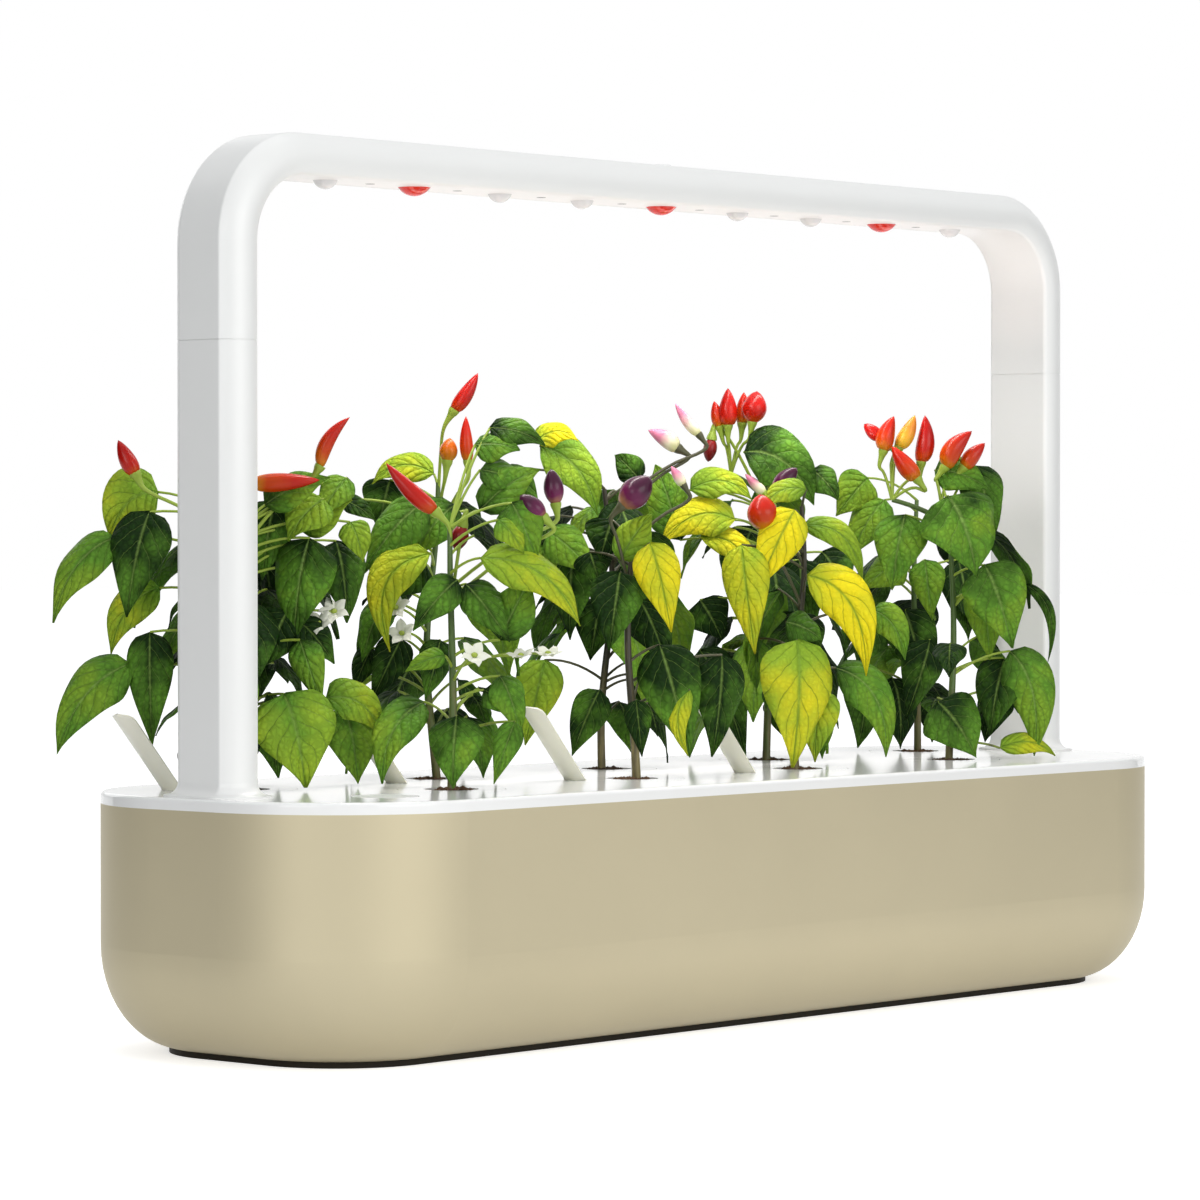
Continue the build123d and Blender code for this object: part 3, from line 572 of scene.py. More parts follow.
# Leaves whose places matter, by the pod they grow from: where the stalk meets the blade
# and where the tip hangs, in the camera's frame, the width in mm, the steps of both ends
# towards the camera in mm, the tone from deep green at 0 to yellow at 1, and how far the
# midrib is swept aside as a share of its length.
leaves = {
    "front_1": [
        ((424, 702), (382, 784), 21, -20, -3, 0.3, -0.2),
        ((457, 580), (413, 631), 17, 10, 14, 0.15, 0),
        ((466, 584), (510, 642), 17, 10, 14, 0.15, 0),
        ((480, 558), (580, 626), 22, 14, 14, 0.65, 0.2),
        ((457, 716), (453, 800), 24, 14, 18, 0.22, 0),
        ((515, 722), (494, 784), 12, 10, 12, 0.35, 0),
        ((480, 510), (540, 470), 18, -8, -8, 0.3, 0),
        ((475, 445), (520, 450), 16, -14, -10, 0.35, 0),
        ((500, 640), (530, 580), 20, 6, 6, 0.3, 0),
        ((500, 676), (520, 735), 17, 0, 0, 0.3, 0),
        ((484, 690), (513, 716), 13, 0, 0, 0.2, 0),
        ((445, 656), (405, 672), 10, 6, 6, 0.42, 0),
        ((512, 503), (537, 560), 21, 10, 10, 0.3, 0),
        ((498, 520), (524, 554), 13, 14, 14, 0.55, 0),
        ((490, 428), (545, 446), 15, -18, -14, 0.2, 0),
        ((480, 470), (528, 492), 16, -10, -10, 0.2, 0),
    ],
    "front_2": [
        ((620, 572), (609, 650), 24, 6, 10, 0.1, 0),
        ((650, 543), (671, 632), 21, 8, 10, 0.95, 0),
        ((660, 645), (690, 757), 28, 4, 4, 0.12, 0),
        ((690, 690), (688, 756), 10, 8, 8, 0.7, -0.3),
        ((636, 700), (642, 757), 12, 8, 8, 0.05, 0),
        ((620, 560), (652, 515), 18, 0, 0, 0.5, 0),
        ((590, 552), (600, 584), 18, -10, -10, 0.0, 0),
        ((722, 655), (712, 757), 24, -14, -20, 0.08, 0),
        ((640, 600), (668, 668), 22, -14, -14, 0.04, 0),
        ((612, 520), (600, 560), 22, -8, -8, 0.03, 0),
    ],
    "front_3": [
        ((742, 545), (755, 654), 22, 18, 18, 0.8, 0),
        ((795, 510), (757, 590), 22, 16, 16, 1.0, 0),
        ((807, 575), (866, 676), 24, 10, 6, 1.0, 0.35),
        ((797, 640), (792, 773), 36, 16, 18, 0.72, 0),
        ((822, 690), (815, 762), 20, 8, 8, 0.65, 0),
        ((836, 668), (886, 757), 22, 4, 0, 0.3, 0.3),
        ((872, 610), (905, 660), 16, -6, -6, 0.35, 0.25),
        ((806, 490), (762, 512), 13, 10, 12, 0.6, -0.3),
        ((803, 526), (862, 582), 14, 4, 0, 0.55, 0.35),
        ((786, 622), (822, 640), 20, 8, 6, 0.25, 0),
    ],
    "front_4": [
        ((948, 496), (976, 576), 45, 14, 14, 0.3, 0),
        ((905, 515), (892, 590), 26, 10, 12, 0.32, 0),
        ((985, 565), (1012, 648), 32, 8, 4, 0.28, 0),
        ((985, 580), (990, 660), 22, -4, -4, 0.4, 0),
        ((1010, 651), (1034, 758), 25, 0, -6, 0.3, 0.22),
        ((1005, 658), (990, 735), 24, -6, -6, 0.12, 0),
        ((938, 702), (976, 770), 31, 8, 8, 0.2, 0),
        ((1024, 584), (1048, 662), 6, -12, -12, 0.1, 0.35),
        ((1000, 748), (1055, 757), 12, -2, -8, 0.7, 0.2),
        ((935, 470), (990, 490), 20, -6, -6, 0.3, 0),
        ((975, 466), (994, 540), 22, -20, -20, 0.15, 0),
        ((1000, 690), (985, 742), 18, -12, -12, 0.04, 0),
        ((975, 590), (1000, 632), 20, 4, 4, 0.45, 0),
    ],
    "back_1": [
        ((158, 492), (109, 538), 29, -8, -8, 0.62, -0.3),
        ((150, 512), (127, 617), 26, 4, 10, 0.1, 0),
        ((116, 537), (53, 623), 20, 5, 6, 0.4, -0.12),
        ((160, 588), (111, 654), 19, -8, -8, 0.6, -0.2),
        ((150, 632), (152, 747), 20, 6, 8, 0.15, 0),
        ((131, 664), (57, 754), 24, 6, 8, 0.32, -0.15),
        ((310, 538), (294, 643), 28, 2, 2, 0.18, 0),
        ((336, 541), (347, 623), 23, -15, -14, 0.12, 0),
        ((284, 694), (305, 801), 40, 11, 11, 0.5, 0),
        ((345, 708), (358, 784), 25, -27, -20, 0.32, 0),
        ((326, 698), (382, 737), 20, -16, -28, 0.5, 0.3),
        ((300, 640), (322, 706), 15, 6, 2, 0.3, 0),
        ((265, 505), (330, 478), 18, 0, 0, 0.3, 0),
        ((300, 530), (352, 500), 20, -8, -8, 0.5, 0),
        ((324, 499), (288, 541), 22, -3, 4, 0.5, 0),
        ((347, 478), (320, 518), 15, -10, -2, 0.35, 0),
        ((350, 522), (363, 562), 15, -13, -13, 0.5, 0),
        ((287, 612), (262, 668), 24, 2, 2, 0.02, 0),
        ((300, 622), (334, 664), 16, 0, 0, 0.05, 0),
        ((275, 500), (262, 580), 22, -6, -6, 0.15, 0),
    ],
    "back_2": [
        ((430, 554), (390, 652), 19, 30, 34, 0.8, -0.55),
        ((385, 600), (362, 662), 15, 8, 10, 0.15, 0),
        ((424, 502), (364, 573), 23, 24, 26, 0.25, 0),
        ((434, 474), (372, 484), 15, -4, -4, 0.72, -0.3),
        ((455, 505), (410, 560), 22, 14, 14, 0.3, 0),
        ((440, 640), (425, 700), 16, 12, 12, 0.1, 0),
        ((343, 500), (376, 521), 10, 6, 6, 0.08, 0),
        ((426, 565), (392, 599), 19, 18, 18, 0.05, 0),
        ((402, 638), (371, 702), 17, 10, 10, 0.02, 0),
        ((372, 648), (354, 692), 12, 6, 6, 0.05, 0),
        ((390, 480), (378, 530), 22, -8, -8, 0.12, 0),
        ((400, 530), (372, 600), 22, -4, -4, 0.08, 0),
    ],
    "back_3": [
        ((535, 442), (578, 441), 13, 30, 30, 0.95, 0.3),
        ((540, 446), (597, 515), 26, 26, 22, 0.48, 0.2),
        ((548, 532), (597, 578), 20, 26, 24, 0.4, 0),
        ((545, 660), (525, 745), 22, 26, 26, 0.6, 0),
        ((600, 690), (572, 756), 18, 22, 22, 0.2, 0),
        ((640, 480), (615, 455), 14, 0, 0, 0.05, 0),
        ((545, 545), (541, 584), 16, 24, 24, 0.45, 0),
        ((575, 545), (570, 640), 24, 8, 8, 0.1, 0),
        ((600, 600), (590, 660), 22, 4, 4, 0.04, 0),
        ((500, 470), (540, 520), 20, 10, 10, 0.15, 0),
    ],
    "back_4": [
        ((744, 452), (814, 505), 32, 18, 10, 0.14, 0.25),
        ((680, 540), (655, 465), 24, 18, 18, 0.3, 0),
        ((690, 490), (752, 500), 17, 26, 26, 0.6, 0.3),
        ((735, 520), (660, 545), 22, 28, 30, 0.85, -0.3),
        ((700, 650), (745, 757), 26, 16, 14, 0.12, 0),
        ((700, 600), (722, 640), 24, 12, 12, 0.05, 0),
        ((760, 452), (800, 470), 20, 6, 6, 0.2, 0),
        ((812, 470), (838, 500), 18, 2, 2, 0.15, 0),
        ((700, 537), (754, 592), 15, 30, 26, 0.9, 0.4),
        ((822, 552), (846, 600), 26, -4, -6, 0.06, 0),
        ((800, 560), (806, 622), 24, 2, 2, 0.1, 0),
    ],
    "back_5": [
        ((885, 500), (850, 560), 22, 26, 26, 0.4, 0),
        ((905, 560), (862, 590), 20, 24, 24, 0.45, 0),
        ((925, 560), (932, 620), 18, 18, 18, 0.35, 0),
        ((930, 640), (905, 720), 22, 14, 14, 0.08, 0),
        ((868, 478), (836, 516), 22, 24, 26, 0.5, 0),
        ((880, 610), (858, 668), 24, 10, 8, 0.08, 0),
        ((905, 610), (925, 690), 26, 8, 8, 0.06, 0),
        ((868, 668), (858, 748), 24, 6, 6, 0.08, 0),
        ((892, 678), (900, 758), 26, 4, 4, 0.04, 0),
        ((958, 560), (968, 640), 24, 2, 2, 0.05, 0),
    ],
}

# Flowers by pod, each with its place in the camera's frame, its steps towards the camera
# in mm, and how far it faces up instead of to the front.
flowers = {
    "front_1": [
        ((474, 656), 22, 0.2),
        ((521, 657), 16, 0.75),
        ((548, 655), 12, 0.7),
    ],
    "back_1": [
        ((334, 612), -7, 0.1),
        ((319, 624), -3, 0.2),
    ],
    "back_2": [
        ((396, 608), 30, 0.0),
        ((402, 634), 30, 0.1),
    ],
}

# The rest of the crown: large leaves that climb the stem in a spiral, where the solids
# have theirs, and smaller ones scattered between them. All stay in the plant's own plot,
# and pass the legs of the arch and the plant markers.
spiral_count = 22
spiral_turn = math.radians(137.5)
spiral_start = math.radians(20.0)
spiral_low = 0.026
spiral_crowding = 0.8
spiral_length = 0.046
spiral_shortest = 0.020
spiral_width = 0.58
spiral_droop = math.radians(55.0)
spiral_reach = 0.050
spiral_tones = (0.0, 0.02, 0.06, 0.12, 0.2, 0.34)
room_used = 0.88
room_outward = 0.0595
least_slope = 0.01
end_pods_from = 0.2
end_reach = 0.070
end_pass = math.radians(28.0)
stalk_share = 0.38
stalk_climb = math.tan(math.radians(14.0))
stem_heights = {"front_1": 0.112, "front_2": 0.112, "front_3": 0.122, "front_4": 0.122,
                "back_1": 0.112, "back_2": 0.132, "back_3": 0.130, "back_4": 0.134, "back_5": 0.126}
top_leaf_drop = 0.006
spiral_tip_clear = 0.003
leg_face = 0.2763
leg_clear = (0.262, 0.028)
marker_clear = 0.0135
marker_checks = 6
small_count = 24
small_low = 0.03
small_widths = (0.009, 0.017)
small_slimness = (1.7, 2.3)
small_offsets = (0.008, 0.030)
small_drops = (0.3, 0.9)
small_spread = 0.6
small_tones = (0.02, 0.1, 0.2, 0.35, 0.5)

# Places in the camera's frame where light shows between the plants.
windows = {
    "left_low": (323, 640, 351, 691),
    "left_floor": (304, 685, 349, 713),
    "left_high": (416, 525, 461, 573),
    "stem_left": (433, 671, 452, 722),
    "middle_left": (513, 590, 529, 643),
    "middle": (566, 579, 600, 598),
    "middle_low": (555, 669, 594, 722),
    "middle_floor": (560, 725, 616, 764),
    "stem_front": (451, 592, 471, 712),
    "twin_stems": (614, 674, 628, 697),
    "centre": (684, 579, 723, 612),
    "centre_high": (687, 492, 712, 506),
    "centre_floor": (737, 722, 762, 753),
    "right_high": (796, 487, 888, 551),
    "right_middle": (883, 534, 939, 613),
    "right_crest": (916, 489, 944, 503),
    "right_low": (950, 686, 1003, 733),
}
window_edge = 7
placed_cover = 20
cover_per_mm = 0.85
mark_shares = (0.2, 0.5, 0.8)


def seen_at(point):
    """Place of a point in the camera's frame, and its distance ahead."""
    step = point - camera_place
    level = step.dot(camera_ahead)
    ahead = level * math.cos(view_dip) - step.z * math.sin(view_dip)
    rise = step.z * math.cos(view_dip) + level * math.sin(view_dip)
    u = frame_side / 2 + frame_focal * step.dot(camera_right) / ahead
    v = frame_side / 2 - frame_focal * rise / ahead
    return u, v, ahead


def marks_along(stalk, tip):
    """Places in the frame of three points along a leaf."""
    return [seen_at(stalk + (tip - stalk) * share) for share in mark_shares]


placed_marks = []
for pod in pods:
    for stalk_seen, tip_seen, wide, near, far, _, _ in leaves[pod]:
        stalk = frame_point(pod, stalk_seen, near)
        for mark in marks_along(stalk, frame_point(pod, tip_seen, far)):
            placed_marks.append((*mark, max(placed_cover, wide * cover_per_mm)))
    for seen, near, _ in flowers.get(pod, []):
        placed_marks.append((*seen_at(frame_point(pod, seen, near)), placed_cover))


def in_the_way(stalk, tip):
    """Whether a leaf would fill a window or hide a placed leaf."""
    marks = marks_along(stalk, tip)
    for u, v, _ in marks[1:]:
        for u_low, v_low, u_high, v_high in windows.values():
            beside = u_low - window_edge < u < u_high + window_edge
            if beside and v_low - window_edge < v < v_high + window_edge:
                return True
    for u, v, ahead in marks:
        for mark_u, mark_v, mark_ahead, cover in placed_marks:
            if ahead < mark_ahead and math.hypot(u - mark_u, v - mark_v) < cover:
                return True
    return False


def leaf_room(pod, angle):
    """Distance from a stem to the edge of its plot, along an angle."""
    foot = stem_foot(pod)
    step_x = math.cos(angle)
    step_y = math.sin(angle) * (1 if foot.y > 0 else -1)
    outward = step_x * foot.x > 0
    if outward and abs(foot.x) > end_pods_from and step_y > math.sin(end_pass):
        return end_reach
    room_x = plot_half
    if outward:
        room_x = min(room_x, leg_face - abs(foot.x) - plot_gap)
    room_y = room_outward if step_y > 0 else abs(foot.y) - plot_gap
    return min(room_x / max(abs(step_x), least_slope), room_y / max(abs(step_y), least_slope), spiral_reach)


def near_marker(stalk, tip, half_width):
    """Whether a leaf hangs over one of the plant markers."""
    run = marker_length * math.sin(marker_lean)
    for k in range(marker_checks + 1):
        point = stalk + (tip - stalk) * (k / marker_checks)
        for x, y in marker_places:
            beside_x = abs(point.x - (x - run / 2)) < run / 2 + half_width
            beside_y = abs(point.y - y) < marker_width / 2 + half_width
            if beside_x and beside_y:
                return True
    return False


def spiral_leaves(pod, rng):
    """Places for the large leaves as stalk end, tip, width, facing and tone."""
    foot = stem_foot(pod)
    foot.z = lid_top
    places = []
    for k in range(spiral_count):
        share = (k / (spiral_count - 1)) ** spiral_crowding
        rise = spiral_low + (stem_heights[pod] - top_leaf_drop - spiral_low) * share
        angle = spiral_turn * k + spiral_start
        reach = leaf_room(pod, angle) * room_used
        step = stalk_share * reach
        droop = max(spiral_droop, math.acos(min(1, (reach - step) / spiral_length)))
        out = Vector((math.cos(angle), math.sin(angle), 0))
        stalk = foot + out * step + up * (rise + step * stalk_climb)
        heading = out * math.cos(droop) - up * math.sin(droop)
        floor_z = lid_top + spiral_tip_clear
        if near_marker(stalk, stalk + heading * spiral_length, marker_clear):
            floor_z += marker_length * math.cos(marker_lean)
        length = min(spiral_length, (stalk.z - floor_z) / math.sin(droop))
        if length < spiral_shortest:
            continue
        face = (out * 0.75 + up * 0.6).normalized()
        tone = rng.choice(spiral_tones)
        places.append((stalk, stalk + heading * length, length * spiral_width, face, tone))
    return places


def small_leaves(pod, rng):
    """Places for the small leaves close round the stem."""
    foot = stem_foot(pod)
    low_x, high_x, low_y, high_y = plot_of(pod)
    places = []
    for k in range(small_count):
        rise = small_low + (stem_heights[pod] - small_low) * k / small_count
        turn = rng.uniform(0, 2 * math.pi)
        out = Vector((math.cos(turn), math.sin(turn), 0))
        width = rng.uniform(*small_widths)
        length = width * rng.uniform(*small_slimness)
        stalk = foot + out * rng.uniform(*small_offsets) + up * rise
        tip = stalk + out * length * small_spread - up * (length * rng.uniform(*small_drops))
        edge = width / 2
        for point in (stalk, tip):
            point.x = min(max(point.x, low_x + edge), high_x - edge)
            point.y = min(max(point.y, low_y + edge), high_y - edge)
        if abs(tip.x) + edge > leg_clear[0] and abs(tip.y) - edge < leg_clear[1]:
            continue
        face = (out * 0.6 + up * 0.8).normalized()
        places.append((stalk, tip, width, face, rng.choice(small_tones)))
    return places


toward_viewer = (camera_right * 0.05 - camera_ahead * 0.85 + up * 0.5).normalized()
leaf_turn = 0.35
leaf_seed = 100
stalk_ends = {}
for pod in pods:
    rng = random.Random(leaf_seed + pods.index(pod))
    blades = []
    stalk_ends[pod] = []
    for stalk_seen, tip_seen, wide, near, far, tone, sweep in leaves[pod]:
        stalk = frame_point(pod, stalk_seen, near)
        tip = frame_point(pod, tip_seen, far)
        face = (toward_viewer + camera_right * rng.uniform(-leaf_turn, leaf_turn)).normalized()
        blades.append(hang_leaf(stalk, tip, wide / 1000, face, tone, rng, sweep))
        stalk_ends[pod].append(stalk)
    for stalk, tip, width, face, tone in spiral_leaves(pod, rng) + small_leaves(pod, rng):
        if in_the_way(stalk, tip):
            continue
        blades.append(hang_leaf(stalk, tip, width, face, tone, rng))
        stalk_ends[pod].append(stalk)
    crown = join_as(f"leaves_{pod}", blades, leaf_green)
    bpy.ops.object.shade_smooth()
    thicken(crown, blade_wall)
    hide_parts(f"plant_{pod}")
    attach(crown, f"pod_{pod}")

# Flowers: five blunt white petals round a small green heart, nodding among the leaves.
petal_count = 5
petal_length = 0.0072
petal_width = 0.0050
petal_rise = 0.25
petal_foot = 0.0008
heart_size = 0.0014
flower_turn = 0.4
flower_seed = 500
petal_white = moulded("petal_white", (0.78, 0.79, 0.68), 0.55, grain=700.0, grain_depth=0.2)
heart_green = moulded("heart_green", (0.35, 0.45, 0.06), 0.6, grain=900.0, grain_depth=0.3)


def open_flower(place, face, rng):
    """Ring of petals and the heart that they spread from."""
    across = face.cross(up).normalized()
    above = across.cross(face)
    start = rng.uniform(0, 2 * math.pi)
    made = []
    for k in range(petal_count):
        turn = start + 2 * math.pi * k / petal_count
        out = across * math.cos(turn) + above * math.sin(turn)
        tip = place + (out + face * petal_rise) * petal_length
        made.append(hang_leaf(place + out * petal_foot, tip, petal_width, face, 0.0, rng))
    deselect_all()
    middle = place + face * petal_foot
    bpy.ops.mesh.primitive_uv_sphere_add(segments=8, ring_count=6, radius=heart_size, location=middle)
    heart = bpy.context.object
    heart.scale = (1, 1, 0.8)
    bpy.ops.object.transform_apply(location=True, rotation=True, scale=True)
    return made, heart


for pod in flowers:
    rng = random.Random(flower_seed + pods.index(pod))
    petals = []
    hearts = []
    for seen, near, upward in flowers[pod]:
        place = frame_point(pod, seen, near)
        face = toward_viewer.lerp(up, upward) + camera_right * rng.uniform(-flower_turn, flower_turn)
        face.normalize()
        ring, heart = open_flower(place, face, rng)
        petals += ring
        hearts.append(heart)
        stalk_ends[pod].append(place)
    for name, made, skin in (("petals", petals, petal_white), ("hearts", hearts, heart_green)):
        piece = join_as(f"{name}_{pod}", made, skin)
        bpy.ops.object.shade_smooth()
        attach(piece, f"pod_{pod}")
bpy.data.objects.remove(leaf_blank)

# Peppers by pod: glossy pointed fruit that stand up from green caps. Each runs from its
# cap to its tip in the camera's frame; width in mm, steps towards the camera in mm, skin,
# and how far it bows aside as a share of its length.
peppers = {
    "front_1": {
        "slanted": ((437, 513), (386, 463), 7.5, 4, "red", 0.04),
        "hidden": ((463, 524), (456, 551), 8, -4, "dark", 0),
        "plum_left": ((545, 519), (520, 495), 9, 8, "purple", 0),
        "plum_hanging": ((556, 506), (551, 469), 9, -14, "purple", 0),
    },
    "front_2": {
        "plum_round": ((621, 507), (651, 477), 14, 4, "purple", 0),
    },
    "front_3": {
        "low_round": ((765, 531), (760, 494), 15, 14, "orange", 0),
        "plum_right": ((773, 492), (797, 468), 9, 0, "purple", 0),
    },
    "front_4": {
        "fan_outer": ((883, 441), (864, 424), 7, 0, "red", 0),
        "fan_left": ((883, 452), (894, 416), 9, 4, "orange", 0.06),
        "fan_yellow": ((898, 449), (915, 415), 8, 0, "yellow", -0.04),
        "fan_right": ((921, 464), (925, 415), 9, -4, "red", -0.06),
        "fan_front": ((918, 480), (892, 446), 9, 8, "orange", 0.03),
        "pair_left": ((944, 468), (972, 431), 10, 0, "orange", 0.09),
        "pair_right": ((963, 468), (985, 443), 8, -4, "orange", 0.03),
    },
    "back_1": {
        "outer": ((136, 475), (118, 440), 7.5, 0, "red", 0.02),
        "flat": ((250, 484), (320, 480), 8, 6, "orange", 0),
        "curved": ((319, 468), (350, 417), 6.5, 0, "orange", 0.11),
    },
    "back_2": {
        "highest": ((453, 412), (478, 373), 7, 4, "red", -0.03),
        "upright": ((468, 463), (466, 416), 6, 14, "orange", 0.02),
        "squat": ((447, 463), (450, 438), 8.5, 14, "amber", 0),
    },
    "back_3": {
        "pink_bud": ((679, 449), (648, 430), 8, -4, "bud", -0.05),
        "cream_bud": ((700, 436), (675, 403), 5, -4, "bud", 0.04),
        "low_bud": ((684, 486), (671, 466), 5, 2, "bud", 0),
    },
    "back_4": {
        "bunch_left": ((720, 428), (714, 401), 6.5, 6, "orange", 0),
        "bunch_tall": ((728, 427), (728, 388), 9, 8, "red", 0),
        "bunch_behind": ((742, 425), (744, 392), 7, 2, "orange", 0),
        "bunch_stout": ((752, 424), (757, 391), 12.5, 8, "red", 0),
        "bunch_dark": ((712, 437), (708, 462), 7, 6, "dark", 0),
        "crown_bud": ((765, 494), (745, 474), 5, 24, "bud", 0),
    },
}
shoulder_power = 0.42
taper_power = 0.82
stout_from = 0.5
round_power = 0.62
round_base = 1.06
round_taper = 0.22


def pepper_skin(name, cap_colour, body_colour, tip_colour):
    """Shiny skin whose colour runs from the cap to the tip."""
    skin = Skin(name)
    along = skin.add("SeparateXYZ", {0: skin.flat_place()}).outputs["Y"]
    patch = skin.noise(160.0)["Fac"]
    drift = skin.maths("MULTIPLY_ADD", patch, 0.35, along)
    colour = skin.ramp(drift, (0.18, cap_colour), (0.45, body_colour), (1.1 / 1.35, tip_colour))
    skin.relief(patch, 0.15, 0.0006)
    skin.feed(skin.shader, {"Base Color": colour, "Roughness": 0.24, "Specular IOR Level": 0.24})
    return skin.material


skins = {
    "red": pepper_skin("pepper_red", (0.52, 0.070, 0.004), (0.46, 0.010, 0.003), (0.40, 0.006, 0.004)),
    "orange": pepper_skin("pepper_orange", (0.56, 0.22, 0.006), (0.52, 0.050, 0.003), (0.48, 0.014, 0.004)),
    "yellow": pepper_skin("pepper_yellow", (0.60, 0.46, 0.02), (0.76, 0.40, 0.03), (0.72, 0.24, 0.03)),
    "amber": pepper_skin("pepper_amber", (0.54, 0.27, 0.008), (0.54, 0.17, 0.005), (0.50, 0.10, 0.005)),
    "purple": pepper_skin("pepper_purple", (0.42, 0.20, 0.08), (0.14, 0.015, 0.07), (0.055, 0.008, 0.03)),
    "dark": pepper_skin("pepper_dark", (0.35, 0.03, 0.02), (0.25, 0.012, 0.012), (0.16, 0.008, 0.01)),
    "bud": pepper_skin("pepper_bud", (0.62, 0.64, 0.22), (0.86, 0.78, 0.58), (0.70, 0.22, 0.34)),
}
deselect_all()
bpy.ops.mesh.primitive_uv_sphere_add(segments=16, ring_count=14, radius=1)
pepper_blank = bpy.context.object


def grow_pepper(cap, tip, width, skin, curl):
    """Fruit with round shoulders and a drawn-out tip, slightly bowed."""
    run = tip - cap
    length = run.length
    heading = run.normalized()
    side = heading.cross(camera_ahead).normalized()
    front = side.cross(heading)
    bow = side * length * curl
    stout = width / length > stout_from
    pepper = copy_of(pepper_blank)
    for v in pepper.data.vertices:
        along = math.acos(max(-1.0, min(1.0, -v.co.z))) / math.pi
        ring = math.hypot(v.co.x, v.co.y)
        turn = math.atan2(v.co.y, v.co.x)
        if stout:
            share = math.sin(math.pi * along) ** round_power * (round_base - round_taper * along)
        else:
            share = swell_share(along, shoulder_power, taper_power)
        radius = width / 2 * share if ring > 1e-6 else 0.0
        centre = cap + run * along + bow * 4 * along * (1 - along)
        v.co = centre + side * radius * math.cos(turn) + front * radius * math.sin(turn)
    pepper.data.materials.clear()
    pepper.data.materials.append(skins[skin])
    return pepper


# Stems, forks and stalks: ribbed green shoots that brown towards the soil, drawn out as
# smooth tubes, with a cup of green at each fruit's cap.
brown_pods = ("front_2", "back_3", "front_3")
stem_thick = 0.0020
stem_taper = 0.45
stem_bends = 6
stem_sink = 0.002
stem_sway = 0.003
sway_pace = 45
sway_turn = 1.7
sway_aside = 0.6
fork_thick = 0.0008
fork_drop = 0.012
fork_arch = 0.003
fork_shares = (1.7, 1.5, 1.3)
stalk_thick = 0.00055
stalk_drops = (0.004, 0.012)
stalk_lowest = 0.008
stalk_arch = 0.15
fruit_drop = 0.035
fruit_arch = 0.006
fruit_lowest = 0.02
fruit_neck = 0.008
cap_thick = 0.0026
cap_from = 0.002
cap_over = 0.0014
width_per_cap = 2700
stalk_seed = 300


def shoot_skin(name, low_colour, high_colour):
    """Ribbed skin whose colour changes on the way up."""
    skin = Skin(name)
    height = skin.add("SeparateXYZ", {0: skin.place}).outputs["Z"]
    rise = skin.add("MapRange", {"Value": height, "From Min": lid_top, "From Max": lid_top + 0.11})
    ribs = skin.add("Mapping", {"Vector": skin.place, "Scale": (1.0, 1.0, 0.12)})
    patch = skin.noise(520.0, at=ribs.outputs["Vector"])["Fac"]
    drift = skin.maths("MULTIPLY_ADD", patch, 1.1, rise.outputs["Result"])
    skin.relief(patch, 0.4, 0.0005)
    colour = skin.ramp(drift, (0.45, low_colour), (1.0, high_colour))
    skin.feed(skin.shader, {"Base Color": colour, "Roughness": 0.5})
    return skin.material


green_stem = shoot_skin("green_stem", (0.15, 0.12, 0.04), (0.065, 0.120, 0.020))
brown_stem = shoot_skin("brown_stem", (0.24, 0.20, 0.08), (0.035, 0.030, 0.016))
green_shoot = shoot_skin("green_shoot", (0.10, 0.11, 0.025), (0.27, 0.38, 0.035))
brown_shoot = shoot_skin("brown_shoot", (0.12, 0.11, 0.04), (0.060, 0.060, 0.022))


def add_shoot(curve, points, thicks):
    """One smooth tube through control points, with its own thickness at each."""
    spline = curve.splines.new("NURBS")
    spline.points.add(len(points) - 1)
    for control, point, thick in zip(spline.points, points, thicks):
        control.co = (*point, 1)
        control.radius = thick
    spline.order_u = 3
    spline.use_endpoint_u = True


def stem_point(pod, rise):
    """Point at a height on the stem, which sways a little on its way up."""
    turn = pods.index(pod) * sway_turn
    sway = stem_sway * math.sin(rise * sway_pace + turn)
    return stem_foot(pod) + Vector((sway, sway_aside * sway * math.cos(turn), rise))


def joint_below(pod, point, drop, lowest):
    """Point on the stem a drop below another point, between a lowest height and the stem's top."""
    rise = point.z - stem_foot(pod).z - drop
    return stem_point(pod, min(max(rise, lowest), stem_heights[pod]))


def new_curve(name):
    """Curve that takes its thickness from its points."""
    curve = bpy.data.curves.new(name, "CURVE")
    curve.dimensions = "3D"
    curve.bevel_depth = 1.0
    curve.bevel_resolution = 2
    curve.resolution_u = 4
    curve.use_fill_caps = True
    return curve


def tubes_from(curve, pod, skin):
    """Mesh tubes from a curve, as part of the pod's plant."""
    tubes = bpy.data.objects.new(curve.name, curve)
    bpy.context.scene.collection.objects.link(tubes)
    deselect_all()
    tubes.select_set(True)
    bpy.context.view_layer.objects.active = tubes
    bpy.ops.object.convert(target="MESH")
    tubes = bpy.context.object
    tubes.data.materials.append(skin)
    bpy.ops.object.shade_smooth()
    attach(tubes, f"pod_{pod}")


# Where the stalks of a bunch part, in the camera's frame, with steps towards the camera.
bunch_nodes = {
    "fan": ("front_4", (892, 500), 2, ("fan_outer", "fan_left", "fan_yellow", "fan_right", "fan_front")),
    "pair": ("front_4", (941, 502), 0, ("pair_left", "pair_right")),
    "bunch": ("back_4", (731, 474), 4, ("bunch_left", "bunch_tall", "bunch_behind", "bunch_stout")),
}

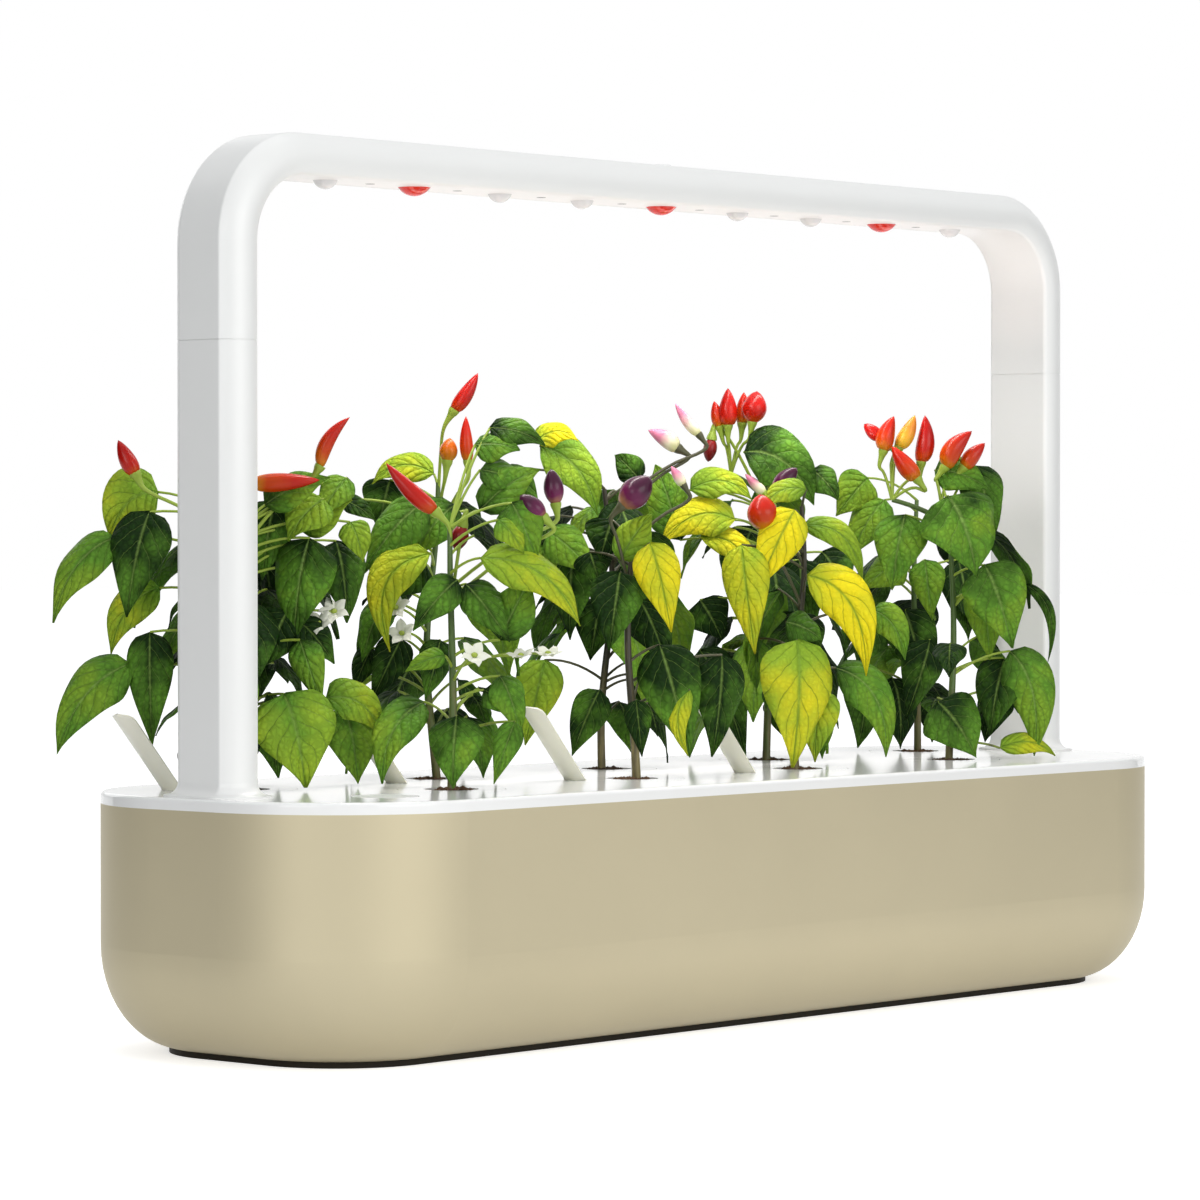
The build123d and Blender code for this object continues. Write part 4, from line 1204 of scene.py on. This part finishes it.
for pod in pods:
    rng = random.Random(stalk_seed + pods.index(pod))
    stem = new_curve(f"stem_{pod}")
    steps = [stem_point(pod, stem_heights[pod] * k / stem_bends) for k in range(stem_bends + 1)]
    steps[0].z -= stem_sink
    add_shoot(stem, steps, [stem_thick * (1 - stem_taper * k / stem_bends) for k in range(stem_bends + 1)])
    curve = new_curve(f"shoots_{pod}")
    fork_at = {}
    for owner, seen, near, names in bunch_nodes.values():
        if owner != pod:
            continue
        fork = frame_point(pod, seen, near)
        joint = joint_below(pod, fork, fork_drop, fruit_lowest)
        arch = (joint + fork) / 2 + up * fork_arch
        add_shoot(stem, [joint, arch, fork], [fork_thick * share for share in fork_shares])
        for name in names:
            fork_at[name] = fork
    for end in stalk_ends[pod]:
        joint = joint_below(pod, end, rng.uniform(*stalk_drops), stalk_lowest)
        arch = (joint + end) / 2 + up * (stalk_arch * (end - joint).length)
        add_shoot(curve, [joint, arch, end], [stalk_thick * 1.3, stalk_thick, stalk_thick])
    fruit = []
    for name, (cap_seen, tip_seen, wide, near, skin, curl) in peppers.get(pod, {}).items():
        cap = frame_point(pod, cap_seen, near)
        tip = frame_point(pod, tip_seen, near)
        fruit.append(grow_pepper(cap, tip, wide / 1000, skin, curl))
        back = (cap - tip).normalized()
        joint = fork_at.get(name, joint_below(pod, cap, fruit_drop, fruit_lowest))
        under = cap + back * fruit_neck
        bend_at = (joint + under) / 2 + up * fruit_arch
        calyx = min(cap_thick, wide / width_per_cap)
        add_shoot(curve, [joint, bend_at, under, cap + back * cap_from, cap, cap - back * cap_over],
                  [fork_thick, fork_thick * 0.9, fork_thick, calyx * 0.6, calyx, calyx])
    tubes_from(stem, pod, brown_stem if pod in brown_pods else green_stem)
    tubes_from(curve, pod, brown_shoot if pod in brown_pods else green_shoot)
    if fruit:
        bunch = join_as(f"fruit_{pod}", fruit)
        bpy.ops.object.shade_smooth()
        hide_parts(f"peppers_{pod}")
        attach(bunch, f"pod_{pod}")
bpy.data.objects.remove(pepper_blank)
